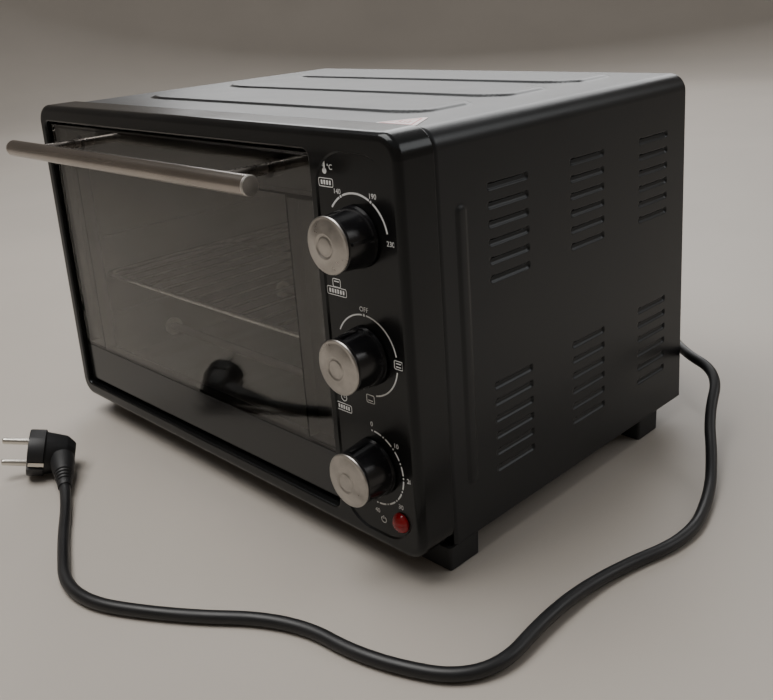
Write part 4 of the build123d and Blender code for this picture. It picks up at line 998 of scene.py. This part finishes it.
for name in KNOBS:
    cap_finish = turned(f"cap_{name}", CAP_STEEL, 0.26, 0.40, 3200.0,
                        middle(f"knob_{name}_cap"), "Y")
    add_piece(f"cap_{name}", cap_mesh(name), f"knob_{name}_turn", cap_finish,
              replaces=[f"knob_{name}_cap"])
print("knob caps:", len(KNOBS))

# %% [markdown]
# ## Finishes on the frame's own nodes
# The other nodes, such as the glass, the bar and the pins, have the right shape
# already, so each only gets its finish.

# %% Assign finishes
def paint(material, *names):
    for name in names:
        data = nodes[name].data
        data.materials.clear()
        data.materials.append(material)


paint(cabinet_black, "base_panel", "rear_panel")
paint(front_black, "fascia")
paint(door_black, "door_bottom_rail")
paint(inner_black, "front_frame", "door_top_rail", "door_stile_left", "door_stile_right")
paint(foot_black, "foot_front_left", "foot_front_right", "foot_rear_left", "foot_rear_right")
paint(zinc, "foot_screws", "rear_screws", "hinge_pins", "hinge_bracket_left",
      "hinge_bracket_right", "handle_screws", "control_nuts", "shaft_temperature",
      "shaft_function", "shaft_timer")
# Bar and posts: steel darkened as painted shade for the dim surroundings they mirror.
paint(stainless, "handle_bar", "handle_posts")
paint(bar_end, "handle_caps")
paint(aluminised, "cavity_left", "cavity_right", "cavity_back", "cavity_floor", "cavity_ceiling")
paint(sheath, "heater_lower", "heater_upper")
paint(ceramic, "heater_bushes")
paint(chrome, "wire_rack")
paint(glass, "door_glass")
paint(cream, "thermostat", "function_switch", "timer", "lamp_holder", "terminal_block")
paint(red_lens, "power_lamp")
paint(nickel, "plug_pins", "plug_clips")
paint(label_paper, "sticker")
for name in KNOBS:
    paint(knob_black, f"knob_{name}")
bare = [name for name, node in nodes.items()
        if not node.hide_render and not node.data.materials[0].use_nodes]
print("painted; without a finish:", bare)

# %% [markdown]
# ## Floor and light
# Black shows only what it mirrors. So the oven stands on a pale floor in three
# soft lights. The one behind draws the grey sheen on the top. The one above and
# in front lights the floor that the door glass mirrors. A weak one at the rear
# right lifts the louvred side, which else stays dark.

# %% Stage
FLOOR_COLOUR = (0.47, 0.43, 0.385)
BOWL_FLAT, BOWL_BEND, BOWL_TOP = 2.5, 1.1, 3.0
BOWL_STEPS = 12


def make_floor():
    """A pale floor that curves up into a wall all round, so no horizon shows."""
    profile = [(0.0, 0.0), (1.2, 0.0), (BOWL_FLAT, 0.0)]
    for i in range(1, BOWL_STEPS + 1):
        angle = math.pi / 2 * i / BOWL_STEPS
        profile.append((BOWL_FLAT + BOWL_BEND * math.sin(angle),
                        BOWL_BEND * (1 - math.cos(angle))))
    profile.append((BOWL_FLAT + BOWL_BEND, BOWL_TOP))
    bm = bmesh.new()
    spin_profile(bm, profile, Vector((0, 0, 0)), Vector((0, 0, 1)), Vector((1, 0, 0)), 96)
    floor = bpy.data.objects.new("floor", finish_mesh("floor", bm, math.radians(60)))
    bpy.context.scene.collection.objects.link(floor)
    material = finish("floor", FLOOR_COLOUR, 0.55)
    cloud = noise(material, 3.0, detail=6.0)
    colours(material, cloud, tuple(c * 0.94 for c in FLOOR_COLOUR), FLOOR_COLOUR)
    floor.data.materials.append(material)


def soft_light(name, place, target, size, watts, colour=(1.0, 1.0, 1.0)):
    data = bpy.data.lights.new(name, "AREA")
    data.shape = "RECTANGLE"
    data.size, data.size_y = size
    data.energy = watts
    data.color = colour
    lamp = bpy.data.objects.new(name, data)
    bpy.context.scene.collection.objects.link(lamp)
    lamp.location = place
    lamp.rotation_mode = "QUATERNION"
    lamp.rotation_quaternion = (Vector(target) - Vector(place)).to_track_quat("-Z", "Y")


make_floor()
soft_light("above", (-0.3, -0.5, 1.7), (-0.1, -0.2, 0), (1.2, 1.2), 31, (1.0, 0.98, 0.95))
soft_light("behind", (-1.3, 1.85, 1.35), (0, 0.1, 0.2), (2.4, 1.3), 34)
soft_light("rear right", (1.9, 1.7, 1.6), (0.3, 0, 0.1), (1.4, 1.0), 11)

world = bpy.data.worlds.new("studio")
world.use_nodes = True
world.node_tree.nodes["Background"].inputs["Color"].default_value = (0.84, 0.83, 0.82, 1.0)
world.node_tree.nodes["Background"].inputs["Strength"].default_value = 0.27
bpy.context.scene.world = world
print("stage and lights ready")
